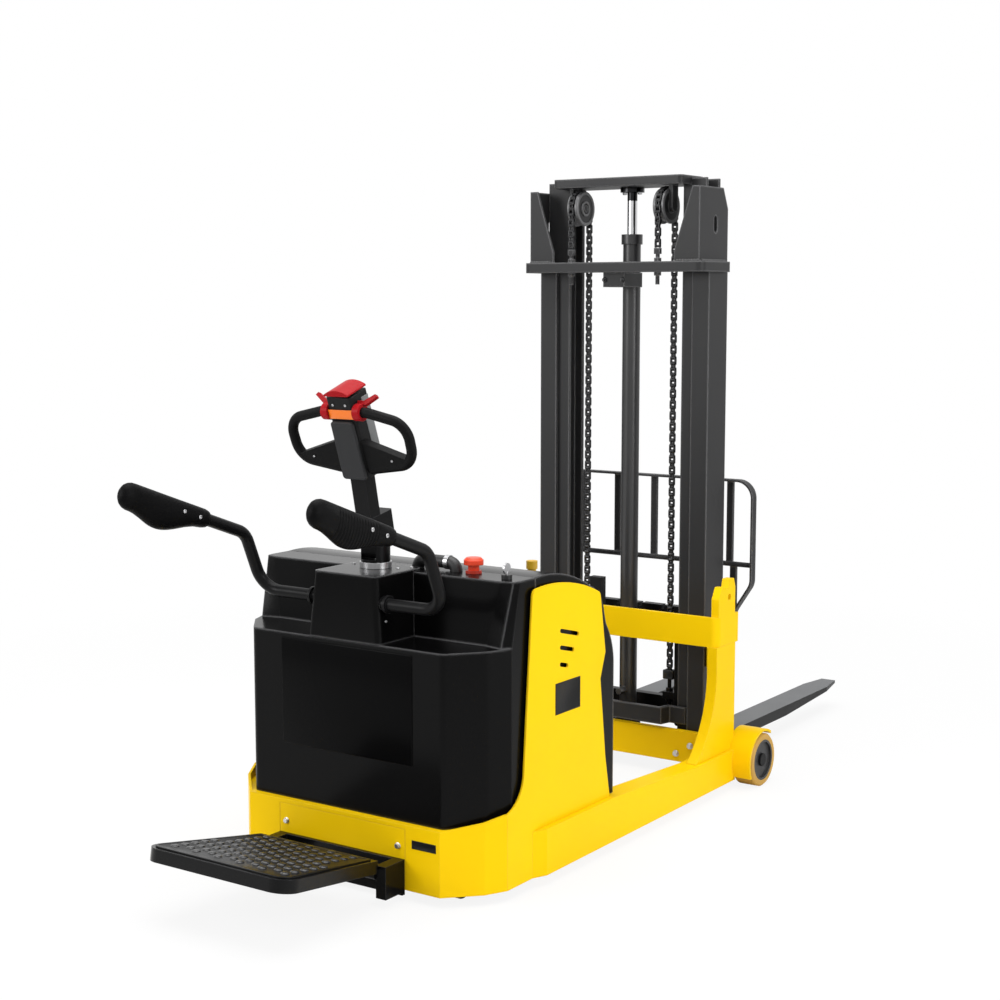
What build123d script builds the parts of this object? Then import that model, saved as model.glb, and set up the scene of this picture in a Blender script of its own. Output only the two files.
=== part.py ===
from build123d import *
import math
import os

os.makedirs("parts", exist_ok=True)

# Electric stacker with straddle legs, a two-stage mast and a fold-up rider platform.
# Millimetres. X points to the right-hand side, Y forward along the forks, Z up from the floor.

# Running and sliding clearances
run_fit = 0.05            # radial, shafts in bores
slide_gap = 0.5           # between moving flat faces
mast_gap = 2.0            # between nested mast profiles

# Stations along the truck
axle_y = 440.0            # load wheel axle
skirt_y = -1137.0         # rear face of the skirt
steer_set = 167.0         # steering axis ahead of the skirt
steer_y = skirt_y + steer_set

# Load wheels
load_wheel_d = 180.0
load_wheel_w = 75.0
load_wheel_face = 550.0   # outer face from the middle of the truck
load_tread = 21.0
load_axle_d = 30.0
hub_rim = 8.0
hub_dish = 8.0
wheel_gap = 8.0

# Straddle legs
ground_gap = 30.0
leg_in = 410.0
leg_out = 484.5
leg_top_rear = 165.0
leg_top_front = 135.0
leg_rear_y = -860.0
leg_full_y = -816.0
leg_slope_y = -440.0
leg_flat_y = 90.0
fender_t = 8.0
axle_arm_t = 56.0
axle_arm_r = 58.0
arch_low = 42.0           # foot of the fender arch above the floor
arch_lip = 56.0           # front lip of the arch ahead of the axle

# Skirt, deck and pan
side_out = 465.0
side_t = 6.0
skirt_t = 8.0
skirt_top = 214.0
skirt_side_top = 246.0
skirt_flat = 345.0        # half width of the flat rear face
skirt_corner_set = 87.0
skirt_corner = (432.0, skirt_y + skirt_corner_set)
skirt_side_set = 152.0
skirt_side_y = skirt_y + skirt_side_set
deck_t = 12.0
drive_hole_d = 240.0
panel_half = 227.0
panel_gap = 1.0
pan_floor = 40.0
pan_t = 12.0
pan_front_y = -395.0

# Side plate outline, seen from the side
plate_foot_y = -440.0
plate_pinch = (-498.0, 535.0)
plate_brow = (-470.0, 612.0)
plate_front_top = (-501.0, 794.0)
plate_crown = (-690.0, 849.0)
plate_rear_top = (-862.0, 850.0)
plate_rear_low = (-903.0, 345.0)
plate_toe = (-466.0, 290.0)
plate_corner = 22.0
louvre_y = -722.0
louvre_z = 702.0
louvre_step = 45.0
louvre_h = 12.0
louvre_fall = 14.0        # degrees, the slots fall towards the front
louvre_lengths = (104.0, 78.0, 46.0)

# Uprights and cross beams
upright_out = 470.0
upright_t = 36.0
upright_rear_y = 240.0
upright_front_y = 374.0
upright_foot_y = 102.0
beam_z = 500.0
beam_h = 100.0
beam_t = 12.0
beam_front_y = 392.0
beam_corner = 25.0
flare_top_z = 410.0
flare_mid = (202.0, 256.0)
gusset_z = 390.0
gusset_h = 80.0
gusset_w = 70.0
gusset_t = 16.0
lug_h = 120.0
lug_rear_y = 250.0
lug_front_y = 368.0
lug_step = 30.0
lug_hole_d = 22.0
lug_slot = 34.0
lug_low = 22.0
lug_w = 28.0
sensor_w = 50.0
sensor_d = 30.0
sensor_h = 96.0
lower_beam_z = 50.0
lower_beam_h = 110.0
lower_beam_t = 22.0

# Outer mast
inner_top_z = 2030.0      # top of the inner rails, mast closed
mast_rear_y = 407.0
mast_depth = 133.0
outer_half = 336.0
outer_web = 14.0
outer_flange = 14.0
outer_width = 65.0
mast_step = 270.0         # inner rails above the outer ones, mast closed
outer_top = inner_top_z - mast_step
foot_t = 15.0
head_drop = 22.0
head_z = outer_top - head_drop
head_h = 35.0
head_rear_y = 320.0
head_bar = 50.0
head_arm = 18.0
head_arm_front_y = 520.0
head_corner = 25.0
horn_t = 10.0
horn_h = 247.0
horn_inset = 20.0
horn_front_y = 540.0
horn_slot_set = 88.0
horn_foot_w = 95.0
horn_top_w = 28.0
horn_slot_w = 26.0
horn_slope_share = 0.28
horn_slot_share = 0.23
horn_slope = horn_slope_share * horn_h
horn_slot_l = horn_slot_share * horn_h

# Inner mast
inner_flange = 12.0
inner_web = 12.0
inner_out = outer_half - outer_web - 5 * mast_gap
inner_w = 86.0
inner_in = inner_out - inner_w
inner_web_set = 32.0
inner_web_in = inner_in + inner_web_set
inner_foot_z = 80.0
inner_notch_h = 120.0
top_plate_t = 30.0
top_plate_over = 28.0
top_plate_half = inner_in + top_plate_over
rail_over = 22.0          # outer part of the inner rail above its top plate's seat
top_plate_rear_y = 355.0
top_plate_front_y = 518.0
tie_z = 176.0
tie_h = 60.0
tie_t = 12.0
tie_half = inner_web_in + inner_web / 2
tie_bulge_y = 370.0
tie_bulge_set = 36.0
tie_bulge_half = inner_in - tie_bulge_set

# Mast rollers
foot_roller_w = 30.0
foot_roller_pin = 30.0
carriage_roller_w = 24.0
carriage_roller_pin = 25.0
roller_low_z = 190.0
roller_high_z = 470.0

# Lift cylinder
cylinder_y = 470.0
tube_d = 62.0
tube_bore = 46.0
tube_foot_z = 200.0
cylinder_drop = 160.0
tube_top_z = inner_top_z - cylinder_drop
tube_floor = 25.0
gland_d = 74.0
gland_h = 34.0
rod_d = 35.0
rod_foot_z = 250.0
rod_flange_d = 84.0
rod_flange_t = 16.0
socket_d = 90.0
port_z = 262.0
port_d = 26.0
port_l = 40.0
clamp_half = 42.0
clamp_h = 50.0

# Chains and pulleys
chain_set = 55.0
chain_x = inner_in - chain_set
chain_pitch = 15.875
chain_plate = 14.0
chain_inner_w = 15.0
chain_outer_w = 22.0
link_overlap = 11.0
pulley_pitch_r = 59.0
pulley_drop = 70.0
pulley_z = inner_top_z - pulley_drop
pulley_y = 406.0
pulley_flange_d = 120.0
pulley_w = 36.0
pulley_pin_d = 20.0
cheek_t = 14.0
cheek_w = 40.0
anchor_rise = 80.0
anchor_top_z = head_z + anchor_rise
anchor_rod_d = 14.0
anchor_tail = 42.0
anchor_nut_h = 12.0
anchor_eye_h = 20.0
carriage_anchor_z = 330.0
lug_z = 250.0

# Fork carriage and forks
bar_set = 13.0
bar_rear_y = mast_rear_y + mast_depth + bar_set
bar_t = 32.0
bar_h = 76.0
bar_half = 345.0
bar_low_z = 155.0
bar_span = 406.0
bar_notch = 12.0
bar_notch_step = 92.0
bar_notch_count = 7
carriage_plate_t = 20.0
carriage_gap = 7.0
side_in = inner_in - carriage_plate_t - carriage_gap
carriage_low_z = 150.0
carriage_top_z = 512.0
carriage_corner = 30.0
lug_reach = 45.0
lug_t = 25.0
fork_set = 131.0
fork_in = outer_half - fork_set
fork_w = 100.0
fork_t = 40.0
fork_top = 104.0
fork_tip_y = 1660.0
fork_tip_t = 11.0
fork_tip_w = 58.0
fork_taper_y = 1150.0
fork_nose = 130.0
hook_h = 22.0
hook_lip = 8.0
heel_round = 25.0
lock_knob_d = 20.0
lock_knob_h = 26.0

# Load backrest
rest_set = 65.0
rest_y = bar_rear_y + bar_t + rest_set
rest_half = 395.0
rest_top = 1014.0
rest_mid = 717.0
rest_tube = 18.0
rest_strap = 30.0
rest_strap_t = 8.0
rest_bar_count = 5
rest_corner = 60.0
rest_stand_set = 17.0
rest_stand_x = fork_in + fork_w + rest_stand_set
rest_foot_set = 5.0
rest_foot_x = rest_stand_x + rest_foot_set
rest_foot_z = 495.0
rest_bend_low = 545.0
rest_bend_high = 650.0
rest_bar_w = 26.0
rest_bar_t = 8.0
rest_bar_step = 153.0

# Rear hood
hood_set = 22.0
hood_rear_y = skirt_y + hood_set
hood_flat = 340.0
hood_half = 452.0
hood_corner_set = 97.0
hood_corner = (422.0, hood_rear_y + hood_corner_set)
hood_side_set = 170.0
hood_side_y = hood_rear_y + hood_side_set
hood_wall = 4.0
hood_ledge = 700.0
hood_top = 880.0
dash_set = 155.0
dash_low_y = hood_rear_y + dash_set
dash_rake = 22.0
dash_high_y = dash_low_y + dash_rake
hood_seam_set = 108.0
hood_seam_y = dash_high_y + hood_seam_set
dash_flat = 411.0
dash_foot_flat = 374.0
dash_side_set = 9.0
dash_side_y = dash_high_y + dash_side_set
cheek_in = 6.0
cheek_foot = 434.0
cheek_set = 16.0          # foot of the cheek, behind the foot of the dash
cheek_y = dash_low_y - cheek_set
hood_round = 24.0

# Front cover
cover_front_y = -400.0
cover_mid = (-660.0, 866.0)
cover_brow = (-536.0, 816.0)
cover_nose = (-483.0, 783.0)
cover_chin = (-457.0, 725.0)
cover_step = (-446.0, 690.0)
cover_chest = (-416.0, 640.0)
cover_waist_z = 570.0

# Steering console in front of the rider
console_set = 17.0
console_rear_y = skirt_y + console_set
console_half_low = 130.0
console_half_top = 112.0
console_cap = 8.0
console_cap_set = 38.0
console_cap_front_y = dash_high_y + console_cap_set
console_round = 16.0
column_hole_d = 120.0

# Dash fittings
stop_x = 264.0
stop_set = 30.0
stop_y = hood_seam_y - stop_set
stop_d = 56.0
stop_stem_d = 32.0
stop_base_d = 46.0
stop_base_h = 8.0
stop_stem_h = 18.0
stop_head_h = 20.0
stop_travel = 6.0
key_x = 397.0
key_set = 60.0
key_y = hood_seam_y - key_set
key_barrel_d = 30.0
key_barrel_h = 12.0
key_bow_d = 32.0
key_t = 5.0
key_shank_d = 9.0
filler_x = 230.0
filler_y = -510.0
filler_d = 34.0
filler_neck_d = 26.0
filler_top = 868.0
filler_cap_h = 24.0
conduit_d = 36.0
conduit_from_x = 70.0
conduit_to_x = 205.0
conduit_set = 32.0
conduit_y = hood_seam_y - conduit_set
conduit_rise = 24.0

# Drive unit
drive_wheel_d = 230.0
drive_wheel_w = 75.0
drive_tread = 20.0
drive_axle_d = 36.0
ring_d = 276.0
ring_t = 20.0
motor_d = 176.0
motor_h = 280.0
gear_t = 46.0
gear_half = 60.0
column_d = 54.0
collar_d = 92.0
collar_h = 17.0
yoke_d = 84.0
yoke_h = 46.0
yoke_floor = 8.0

# Stabiliser casters
caster_x = 330.0
caster_set = 137.0
caster_y = skirt_y + caster_set
caster_wheel_d = 100.0
caster_wheel_w = 38.0
caster_trail = 30.0
caster_stem_d = 26.0
caster_plate_t = 10.0
caster_cheek_t = 6.0
caster_axle_d = 14.0

# Tiller
tiller_lean = 12.0
pivot_set = 10.0
tiller_pivot_y = steer_y - pivot_set
tiller_pivot_z = 936.0
tiller_pin_d = 16.0
tiller_w = 52.0
tiller_d = 45.0
tiller_eye = 21.0
spring_box_w = 56.0
spring_box_d = 100.0
spring_box_l = 66.0
spring_box_z = 38.0
head_low = 228.0
head_tip = 8.0             # degrees the head leans beyond the arm
head_set = 12.0
head_high = 470.0
head_half = 44.0
head_rear = -36.0
head_front = 44.0
head_round = 10.0
cover_plate_t = 12.0
cover_plate_high = 402.0
cover_plate_half = 42.0
cover_plate_taper = 3.0
loop_y = -22.0
loop_z = 424.0
loop_bend = 78.0
loop_out = 208.0
loop_fall = 30.0
loop_inset = 8.0
loop_low_out = loop_out - loop_inset / 2
loop_low = 276.0
loop_round = 58.0
loop_tube = 29.0
wing_t = 26.0
wing_top = 340.0
wing_fall = 46.0
wing_out = loop_out - 20.0
wing_low_out = 178.0
wing_low = 278.0
paddle_w = 22.0
paddle_d = 48.0
paddle_t = 12.0
paddle_lever = 52.0
paddle_reach = 64.0
paddle_tip = 8.0
paddle_sweep = 38.0        # degrees, lever ahead of upright
belly_half = 42.0
belly_h = 17.0
belly_travel = 6.0
belly_stem_d = 24.0
button_d = 20.0
button_h = 5.0
button_depth = 10.0
button_travel = 4.0
horn_z = 300.0
rocker_w = 26.0
rocker_l = 44.0
rocker_z = 385.0
rocker_depth = 14.0
rocker_swing = 3.0
rocker_pin_d = 5.0

# Rider platform
hinge_set = 73.0
hinge_y = skirt_y - hinge_set
hinge_z = 95.0
hinge_pin_d = 20.0
hinge_eye = 22.0
knuckle_w = 41.0
platform_rise = 9.5       # degrees, tipped up by its spring
platform_half = 254.0     # at its rear edge
platform_front_half = 213.0
platform_l = 456.6
platform_start = 34.0
platform_h = 36.0
platform_skin = 6.0
platform_corner = 52.0
mat_t = 6.0
mat_inset = 14.0
ear_t = 34.0
ear_gap = 0.5
ear_half = 226.0
ear_low = 25.0
ear_over = 12.0           # ears behind the hinge line
ear_top = 117.0

# Rider side arms
arm_set = 52.0
arm_y = skirt_y + arm_set
arm_z = 810.0
arm_tube = 35.0
arm_inner_x = 66.0
arm_x = 326.0
arm_elbow_set = 73.0
arm_elbow = (arm_y - arm_elbow_set, 982.0)
arm_reach = 335.0
arm_end = (arm_y - arm_reach, 1076.0)
arm_round = 66.0
pad_w = 50.0
pad_start_set = 245.0
pad_start = (arm_y - pad_start_set, 1043.0)
pad_end_set = 511.0
pad_end = (arm_y - pad_end_set, 1128.0)
pad_mid_set = 405.0
pad_mid = (arm_y - pad_mid_set, 1075.0)
pad_mid_h = 92.0
pad_start_h = 54.0
pad_end_h = 76.0

# Battery and pump unit
battery_size = (640.0, 225.0, 560.0)
battery_y = -530.0
battery_cap_d = 40.0
battery_cap_h = 12.0
tank_size = (300.0, 150.0, 260.0)
tank_x = -200.0
tank_y = -745.0
pump_d = 120.0
pump_h = 190.0

# How a rectangle sits on its point, across and then along the sketch
centre_low = (Align.CENTER, Align.MIN)
centre_high = (Align.CENTER, Align.MAX)
low_centre = (Align.MIN, Align.CENTER)
high_centre = (Align.MAX, Align.CENTER)
low_low = (Align.MIN, Align.MIN)


def write(piece, name):
    piece.part.label = name
    export_step(piece.part, f"parts/{name}.step")


def write_both(piece, name):
    with BuildPart() as both:
        add(piece.part)
        mirror(piece.part, about=Plane.YZ)
    write(both, name)


def write_pair(piece, name):
    write(piece, f"{name}_right")
    with BuildPart() as twin:
        mirror(piece.part, about=Plane.YZ)
    write(twin, f"{name}_left")


# Legs

wheel_r = load_wheel_d / 2
wheel_in = load_wheel_face - load_wheel_w
fender_wall_y = axle_y - wheel_r - wheel_gap
fender_in = upright_out
arch_in = wheel_r + wheel_gap
arch_out = arch_in + fender_t
web_x = leg_in + axle_arm_t - fender_t
axle_end = load_wheel_face - hub_dish + slide_gap

with BuildPart() as leg:
    with BuildSketch(Plane.XY.offset(ground_gap)):
        with BuildLine():
            Polyline(
                (leg_in, leg_rear_y),
                (side_out, leg_rear_y),
                (leg_out, leg_full_y),
                (leg_out, fender_wall_y),
                (leg_in, fender_wall_y),
                close=True,
            )
        make_face()
    extrude(amount=leg_top_rear - ground_gap)
    with BuildSketch(Plane.YZ.offset(leg_in)):
        with BuildLine():
            Polyline(
                (leg_slope_y, leg_top_rear),
                (leg_flat_y, leg_top_front),
                (fender_wall_y, leg_top_front),
                (fender_wall_y, leg_top_rear),
                close=True,
            )
        make_face()
    extrude(amount=leg_out - leg_in, mode=Mode.SUBTRACT)
    # The leg's end is hollowed to clear the wheel
    with BuildSketch(Plane.YZ.offset(fender_in)):
        with Locations((fender_wall_y, ground_gap)):
            Rectangle(wheel_gap + fender_t, leg_top_front - ground_gap, align=low_low)
        with Locations((axle_y, wheel_r)):
            Circle(arch_in, mode=Mode.SUBTRACT)
    extrude(amount=leg_out - fender_in)
    # Fender: an arch round the back and over the top of the wheel, and the web that carries it
    for x, rear_y, front_x in (
        (fender_in, axle_y - arch_out, load_wheel_face),
        (web_x, upright_front_y, fender_in),
    ):
        with BuildSketch(Plane.YZ.offset(x)):
            with Locations((axle_y, wheel_r)):
                Circle(arch_out)
                Circle(arch_in, mode=Mode.SUBTRACT)
            with Locations((rear_y, arch_low)):
                Rectangle(axle_y + arch_lip - rear_y, 2 * arch_out, align=low_low, mode=Mode.INTERSECT)
        extrude(amount=front_x - x)
    with BuildSketch(Plane.YZ.offset(leg_in)):
        with BuildLine():
            Polyline(
                (fender_wall_y, ground_gap),
                (axle_y, ground_gap),
                (axle_y, ground_gap + 2 * axle_arm_r),
                (upright_front_y, leg_top_front),
                (fender_wall_y, leg_top_front),
                close=True,
            )
        make_face()
        with Locations((axle_y, ground_gap + axle_arm_r)):
            Circle(axle_arm_r)
    extrude(amount=axle_arm_t)
    with BuildSketch(Plane.YZ.offset(web_x)):
        with Locations((axle_y, wheel_r)):
            Circle(arch_out)
        with Locations((upright_front_y, wheel_r)):
            Rectangle(axle_y + arch_lip - upright_front_y, 2 * arch_out, align=low_low, mode=Mode.INTERSECT)
    extrude(amount=fender_t)
    # Stub axle with a retaining cap
    with BuildSketch(Plane.YZ.offset(leg_in + axle_arm_t)):
        with Locations((axle_y, wheel_r)):
            Circle(load_axle_d / 2)
    extrude(amount=axle_end - leg_in - axle_arm_t)
    with BuildSketch(Plane.YZ.offset(axle_end)):
        with Locations((axle_y, wheel_r)):
            Circle(load_axle_d - fender_t)
    extrude(amount=hub_dish - 2 * slide_gap)
write_pair(leg, "leg")

with BuildPart() as load_tyre:
    with BuildSketch(Plane.YZ.offset(wheel_in)):
        with Locations((axle_y, wheel_r)):
            Circle(wheel_r)
            Circle(wheel_r - load_tread, mode=Mode.SUBTRACT)
    extrude(amount=load_wheel_w)
    rims = load_tyre.edges().filter_by(GeomType.CIRCLE).group_by(SortBy.RADIUS)[-1]
    chamfer(rims, load_tread / 4)
write_pair(load_tyre, "load_tyre")

with BuildPart() as load_hub:
    with BuildSketch(Plane.YZ.offset(wheel_in)):
        with Locations((axle_y, wheel_r)):
            Circle(wheel_r - load_tread)
            Circle(load_axle_d / 2 + run_fit, mode=Mode.SUBTRACT)
    extrude(amount=load_wheel_w)
    with BuildSketch(Plane.YZ.offset(load_wheel_face)):
        with Locations((axle_y, wheel_r)):
            Circle(wheel_r - load_tread - hub_rim)
    extrude(amount=-hub_dish, mode=Mode.SUBTRACT)
write_pair(load_hub, "load_hub")


# Uprights, with the gussets that hold the mast

upright_in = upright_out - upright_t

with BuildPart() as upright:
    with BuildSketch(Plane.YZ.offset(upright_in)):
        with BuildLine():
            Polyline(
                (upright_foot_y, leg_top_front),
                (upright_front_y, leg_top_front),
                (upright_front_y, beam_z),
                (upright_rear_y, beam_z),
                (upright_rear_y, flare_top_z),
            )
            ThreePointArc((upright_rear_y, flare_top_z), flare_mid, (upright_foot_y, leg_top_front))
        make_face()
    extrude(amount=upright_t)
    with BuildSketch(Plane.XY.offset(gusset_z)):
        with BuildLine():
            Polyline(
                (upright_in, upright_front_y - gusset_w),
                (upright_in, upright_front_y),
                (outer_half, mast_rear_y + gusset_w + gusset_t),
                (outer_half, mast_rear_y + gusset_t),
                close=True,
            )
        make_face()
    extrude(amount=gusset_h)

write_both(upright, "uprights")

with BuildPart() as cross_beams:
    with BuildSketch(Plane.XY.offset(beam_z)) as beam_plan:
        with Locations((0, (upright_rear_y + beam_front_y) / 2)):
            Rectangle(2 * upright_out, beam_front_y - upright_rear_y)
        fillet(beam_plan.vertices().group_by(Axis.Y)[0], beam_corner)
        offset(amount=-beam_t, mode=Mode.SUBTRACT)
        with Locations((0, beam_front_y)):
            Rectangle(2 * (upright_out - beam_t), 4 * beam_t, mode=Mode.SUBTRACT)
    extrude(amount=beam_h)
    # Lug welded on the right-hand return of the beam, with a slot between its two horns
    lug_top = beam_z + beam_h + lug_h
    lug_mid_y = (lug_rear_y + lug_front_y) / 2
    with BuildSketch(Plane.YZ.offset(upright_out - lug_w)):
        with BuildLine():
            Polyline(
                (lug_rear_y, beam_z + beam_h),
                (lug_front_y, beam_z + beam_h),
                (lug_front_y, lug_top - lug_step),
                (lug_front_y - lug_low / 2, lug_top),
                (lug_mid_y + lug_slot / 2, lug_top),
                (lug_mid_y + lug_slot / 4, lug_top - lug_step),
                (lug_mid_y - lug_slot / 4, lug_top - lug_step),
                (lug_mid_y - lug_slot / 2, lug_top - lug_low),
                (lug_rear_y + lug_low, lug_top - lug_low),
                (lug_rear_y, lug_top - 2 * lug_step),
                close=True,
            )
        make_face()
        with Locations((lug_mid_y + lug_slot / 2, lug_top - 2 * lug_step)):
            Circle(lug_hole_d / 2, mode=Mode.SUBTRACT)
    extrude(amount=lug_w)
    with BuildSketch(Plane.XY.offset(lower_beam_z)):
        with Locations((0, mast_rear_y - lower_beam_t / 2)):
            Rectangle(2 * leg_in, lower_beam_t)
    extrude(amount=lower_beam_h)
write(cross_beams, "cross_beams")

with BuildPart() as mast_sensor:
    with BuildSketch(Plane.XY.offset(beam_z + beam_h)) as sensor_plan:
        with Locations((0, upright_rear_y + sensor_d / 2)):
            Rectangle(sensor_w, sensor_d)
        fillet(sensor_plan.vertices(), sensor_d / 6)
    extrude(amount=sensor_h)
write(mast_sensor, "mast_sensor")


# Skirt with the drive deck, its access panel and the pan under the covers

skirt_outline = [
    (-skirt_flat, skirt_y),
    (skirt_flat, skirt_y),
    skirt_corner,
    (side_out, skirt_side_y),
    (side_out, leg_rear_y),
    (-side_out, leg_rear_y),
    (-side_out, skirt_side_y),
    (-skirt_corner[0], skirt_corner[1]),
]

with BuildPart() as rear_tub:
    with BuildSketch(Plane.XY.offset(ground_gap)):
        with BuildLine():
            Polyline(*skirt_outline, close=True)
        make_face()
        offset(amount=-skirt_t, kind=Kind.INTERSECTION, mode=Mode.SUBTRACT)
        with Locations((0, skirt_side_y)):
            Rectangle(2 * side_out, skirt_side_y - skirt_y, align=centre_high, mode=Mode.INTERSECT)
    extrude(amount=skirt_side_top - ground_gap)
    with BuildSketch(Plane.YZ.offset(-side_out)):
        with BuildLine():
            Polyline(
                (skirt_y, skirt_top),
                (skirt_y + skirt_t, skirt_top),
                (skirt_side_y, skirt_side_top),
                (skirt_y, skirt_side_top),
                close=True,
            )
        make_face()
    extrude(amount=2 * side_out, mode=Mode.SUBTRACT)
    with BuildSketch(Plane.XY.offset(skirt_top)):
        with BuildLine():
            Polyline(*skirt_outline, close=True)
        make_face()
        offset(amount=-side_t, kind=Kind.INTERSECTION, mode=Mode.INTERSECT)
        with Locations((0, leg_rear_y)):
            Rectangle(2 * side_out, 4 * side_t, mode=Mode.ADD)
        with Locations((0, leg_rear_y)):
            Rectangle(
                2 * (side_out - side_t), leg_rear_y - skirt_y, align=centre_high, mode=Mode.INTERSECT
            )
        with Locations((0, steer_y)):
            Circle(drive_hole_d / 2, mode=Mode.SUBTRACT)
        with Locations((caster_x, caster_y), (-caster_x, caster_y)):
            Circle(caster_stem_d / 2 + run_fit, mode=Mode.SUBTRACT)
    extrude(amount=-deck_t)
    with BuildSketch(Plane.XZ.offset(-skirt_y - skirt_t)):
        with Locations((0, ground_gap)):
            Rectangle(
                2 * (panel_half + panel_gap), skirt_top - deck_t - ground_gap, align=centre_low
            )
    extrude(amount=skirt_t, mode=Mode.SUBTRACT)
write(rear_tub, "rear_tub")

with BuildPart() as rear_panel:
    with BuildSketch(Plane.XZ.offset(-skirt_y - skirt_t)):
        with Locations((0, ground_gap)):
            Rectangle(2 * panel_half, skirt_top - deck_t - ground_gap, align=centre_low)
    extrude(amount=skirt_t)
write(rear_panel, "rear_panel")

with BuildPart() as front_pan:
    with BuildSketch(Plane.YZ.offset(-leg_in)):
        with BuildLine():
            Polyline(
                (leg_rear_y, pan_floor),
                (pan_front_y, pan_floor),
                (pan_front_y, leg_top_rear),
                (pan_front_y - pan_t, leg_top_rear),
                (pan_front_y - pan_t, pan_floor + pan_t),
                (leg_rear_y + pan_t, pan_floor + pan_t),
                (leg_rear_y + pan_t, skirt_top),
                (leg_rear_y, skirt_top),
                close=True,
            )
        make_face()
    extrude(amount=2 * leg_in)
    # Opening in the rear wall that the drive wheel turns in
    with BuildSketch(Plane.XZ.offset(-leg_rear_y - pan_t)):
        with Locations((0, pan_floor + pan_t)):
            Rectangle(drive_hole_d, skirt_top - deck_t - pan_floor - pan_t, align=centre_low)
    extrude(amount=pan_t, mode=Mode.SUBTRACT)
write(front_pan, "front_pan")

with BuildPart() as side_plate:
    with BuildSketch(Plane.YZ.offset(side_out - side_t)):
        with BuildLine():
            Polyline(
                (plate_foot_y, leg_top_rear),
                (leg_rear_y, leg_top_rear),
                (leg_rear_y, ground_gap),
                (skirt_side_y, ground_gap),
                (skirt_side_y, skirt_side_top),
            )
            TangentArc(
                (skirt_side_y, skirt_side_top),
                plate_rear_low,
                tangent=(skirt_side_y - skirt_y, skirt_side_top - skirt_top),
            )
            Line(plate_rear_low, plate_rear_top)
            ThreePointArc(plate_rear_top, plate_crown, plate_front_top)
            Polyline(plate_front_top, plate_brow, plate_pinch, plate_toe, (plate_foot_y, leg_top_rear))
        make_face()
        for step, length in enumerate(louvre_lengths):
            with Locations((louvre_y + length / 2, louvre_z - step * louvre_step)):
                SlotOverall(length, louvre_h, rotation=-louvre_fall, mode=Mode.SUBTRACT)
    extrude(amount=side_t)
    for top_corner in (plate_rear_top, plate_front_top):
        corners = side_plate.edges().filter_by(Axis.X)
        fillet(corners.sort_by_distance((side_out, *top_corner))[0], plate_corner)
write_pair(side_plate, "side_plate")


# Covers over the drive and the battery


def hood_form(wall):
    """The hood's outer form, or with a wall thickness the hollow inside it."""
    low_z = skirt_top - wall
    seam_y = hood_seam_y + wall
    corner = (hood_corner[0] - wall, hood_corner[1] + wall / 2)
    shoulder = (hood_half - wall, hood_side_y)
    seam = (hood_half - wall, seam_y)
    lower = [(hood_flat - wall / 2, hood_rear_y + wall), corner, shoulder, seam]
    brow = [
        (dash_flat - wall / 2, dash_high_y + wall),
        (hood_half - cheek_in - wall, dash_side_y + wall),
        (hood_half - wall, dash_side_y + hood_round),
        seam,
    ]
    foot = [
        (dash_foot_flat - wall / 2, dash_low_y + wall),
        (cheek_foot - wall, cheek_y + wall),
        shoulder,
        seam,
    ]
    with BuildPart() as form:
        with BuildSketch(Plane.XY.offset(low_z)) as plan:
            with BuildLine():
                Polyline(*lower, *[(-x, y) for x, y in reversed(lower)], close=True)
            make_face()
            by_depth = plan.vertices().group_by(Axis.Y)
            fillet(by_depth[0] + by_depth[1], hood_round)
        extrude(amount=hood_ledge - wall - low_z)
        for z, outline in ((hood_ledge - 2 * hood_wall, foot), (hood_top - wall, brow)):
            with BuildSketch(Plane.XY.offset(z)):
                with BuildLine():
                    Polyline(*outline, *[(-x, y) for x, y in reversed(outline)], close=True)
                make_face()
        loft(ruled=True)
    return form.part


hood_outside = hood_form(0)
hood_inside = hood_form(hood_wall)

with BuildPart() as rear_hood:
    add(hood_outside)
    add(hood_inside, mode=Mode.SUBTRACT)
    # Opening for the steering column, under the console
    with BuildSketch(Plane.XY.offset(hood_ledge - hood_round)):
        with Locations((0, steer_y)):
            Circle(column_hole_d / 2)
    extrude(amount=hood_top - hood_ledge + 2 * hood_round, mode=Mode.SUBTRACT)
write(rear_hood, "rear_hood")

with BuildPart() as front_cover:
    with BuildSketch(Plane.YZ.offset(-hood_half)):
        with BuildLine():
            Polyline(
                (cover_front_y, cover_waist_z),
                (cover_front_y, leg_top_rear),
                (hood_seam_y, leg_top_rear),
                (hood_seam_y, hood_top),
            )
            ThreePointArc((hood_seam_y, hood_top), cover_mid, cover_brow)
            ThreePointArc(cover_brow, cover_nose, cover_chin)
            Line(cover_chin, cover_step)
            ThreePointArc(cover_step, cover_chest, (cover_front_y, cover_waist_z))
        outline = make_face()
    extrude(amount=2 * hood_half)
    with BuildSketch(Plane.YZ.offset(-hood_half + hood_wall)):
        add(outline)
        offset(amount=-hood_wall, kind=Kind.ARC, mode=Mode.REPLACE)
        with Locations((hood_seam_y, leg_top_rear)):
            Rectangle(cover_front_y - hood_seam_y - hood_wall, 3 * hood_wall, align=low_centre)
            Rectangle(3 * hood_wall, hood_top - leg_top_rear - hood_wall, align=centre_low)
    extrude(amount=2 * (hood_half - hood_wall), mode=Mode.SUBTRACT)
    with BuildSketch(Plane.XY.offset(hood_ledge)):
        with Locations((filler_x, filler_y)):
            Circle(filler_neck_d / 2 + slide_gap)
    extrude(amount=hood_top - hood_ledge, mode=Mode.SUBTRACT)
write(front_cover, "front_cover")

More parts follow.
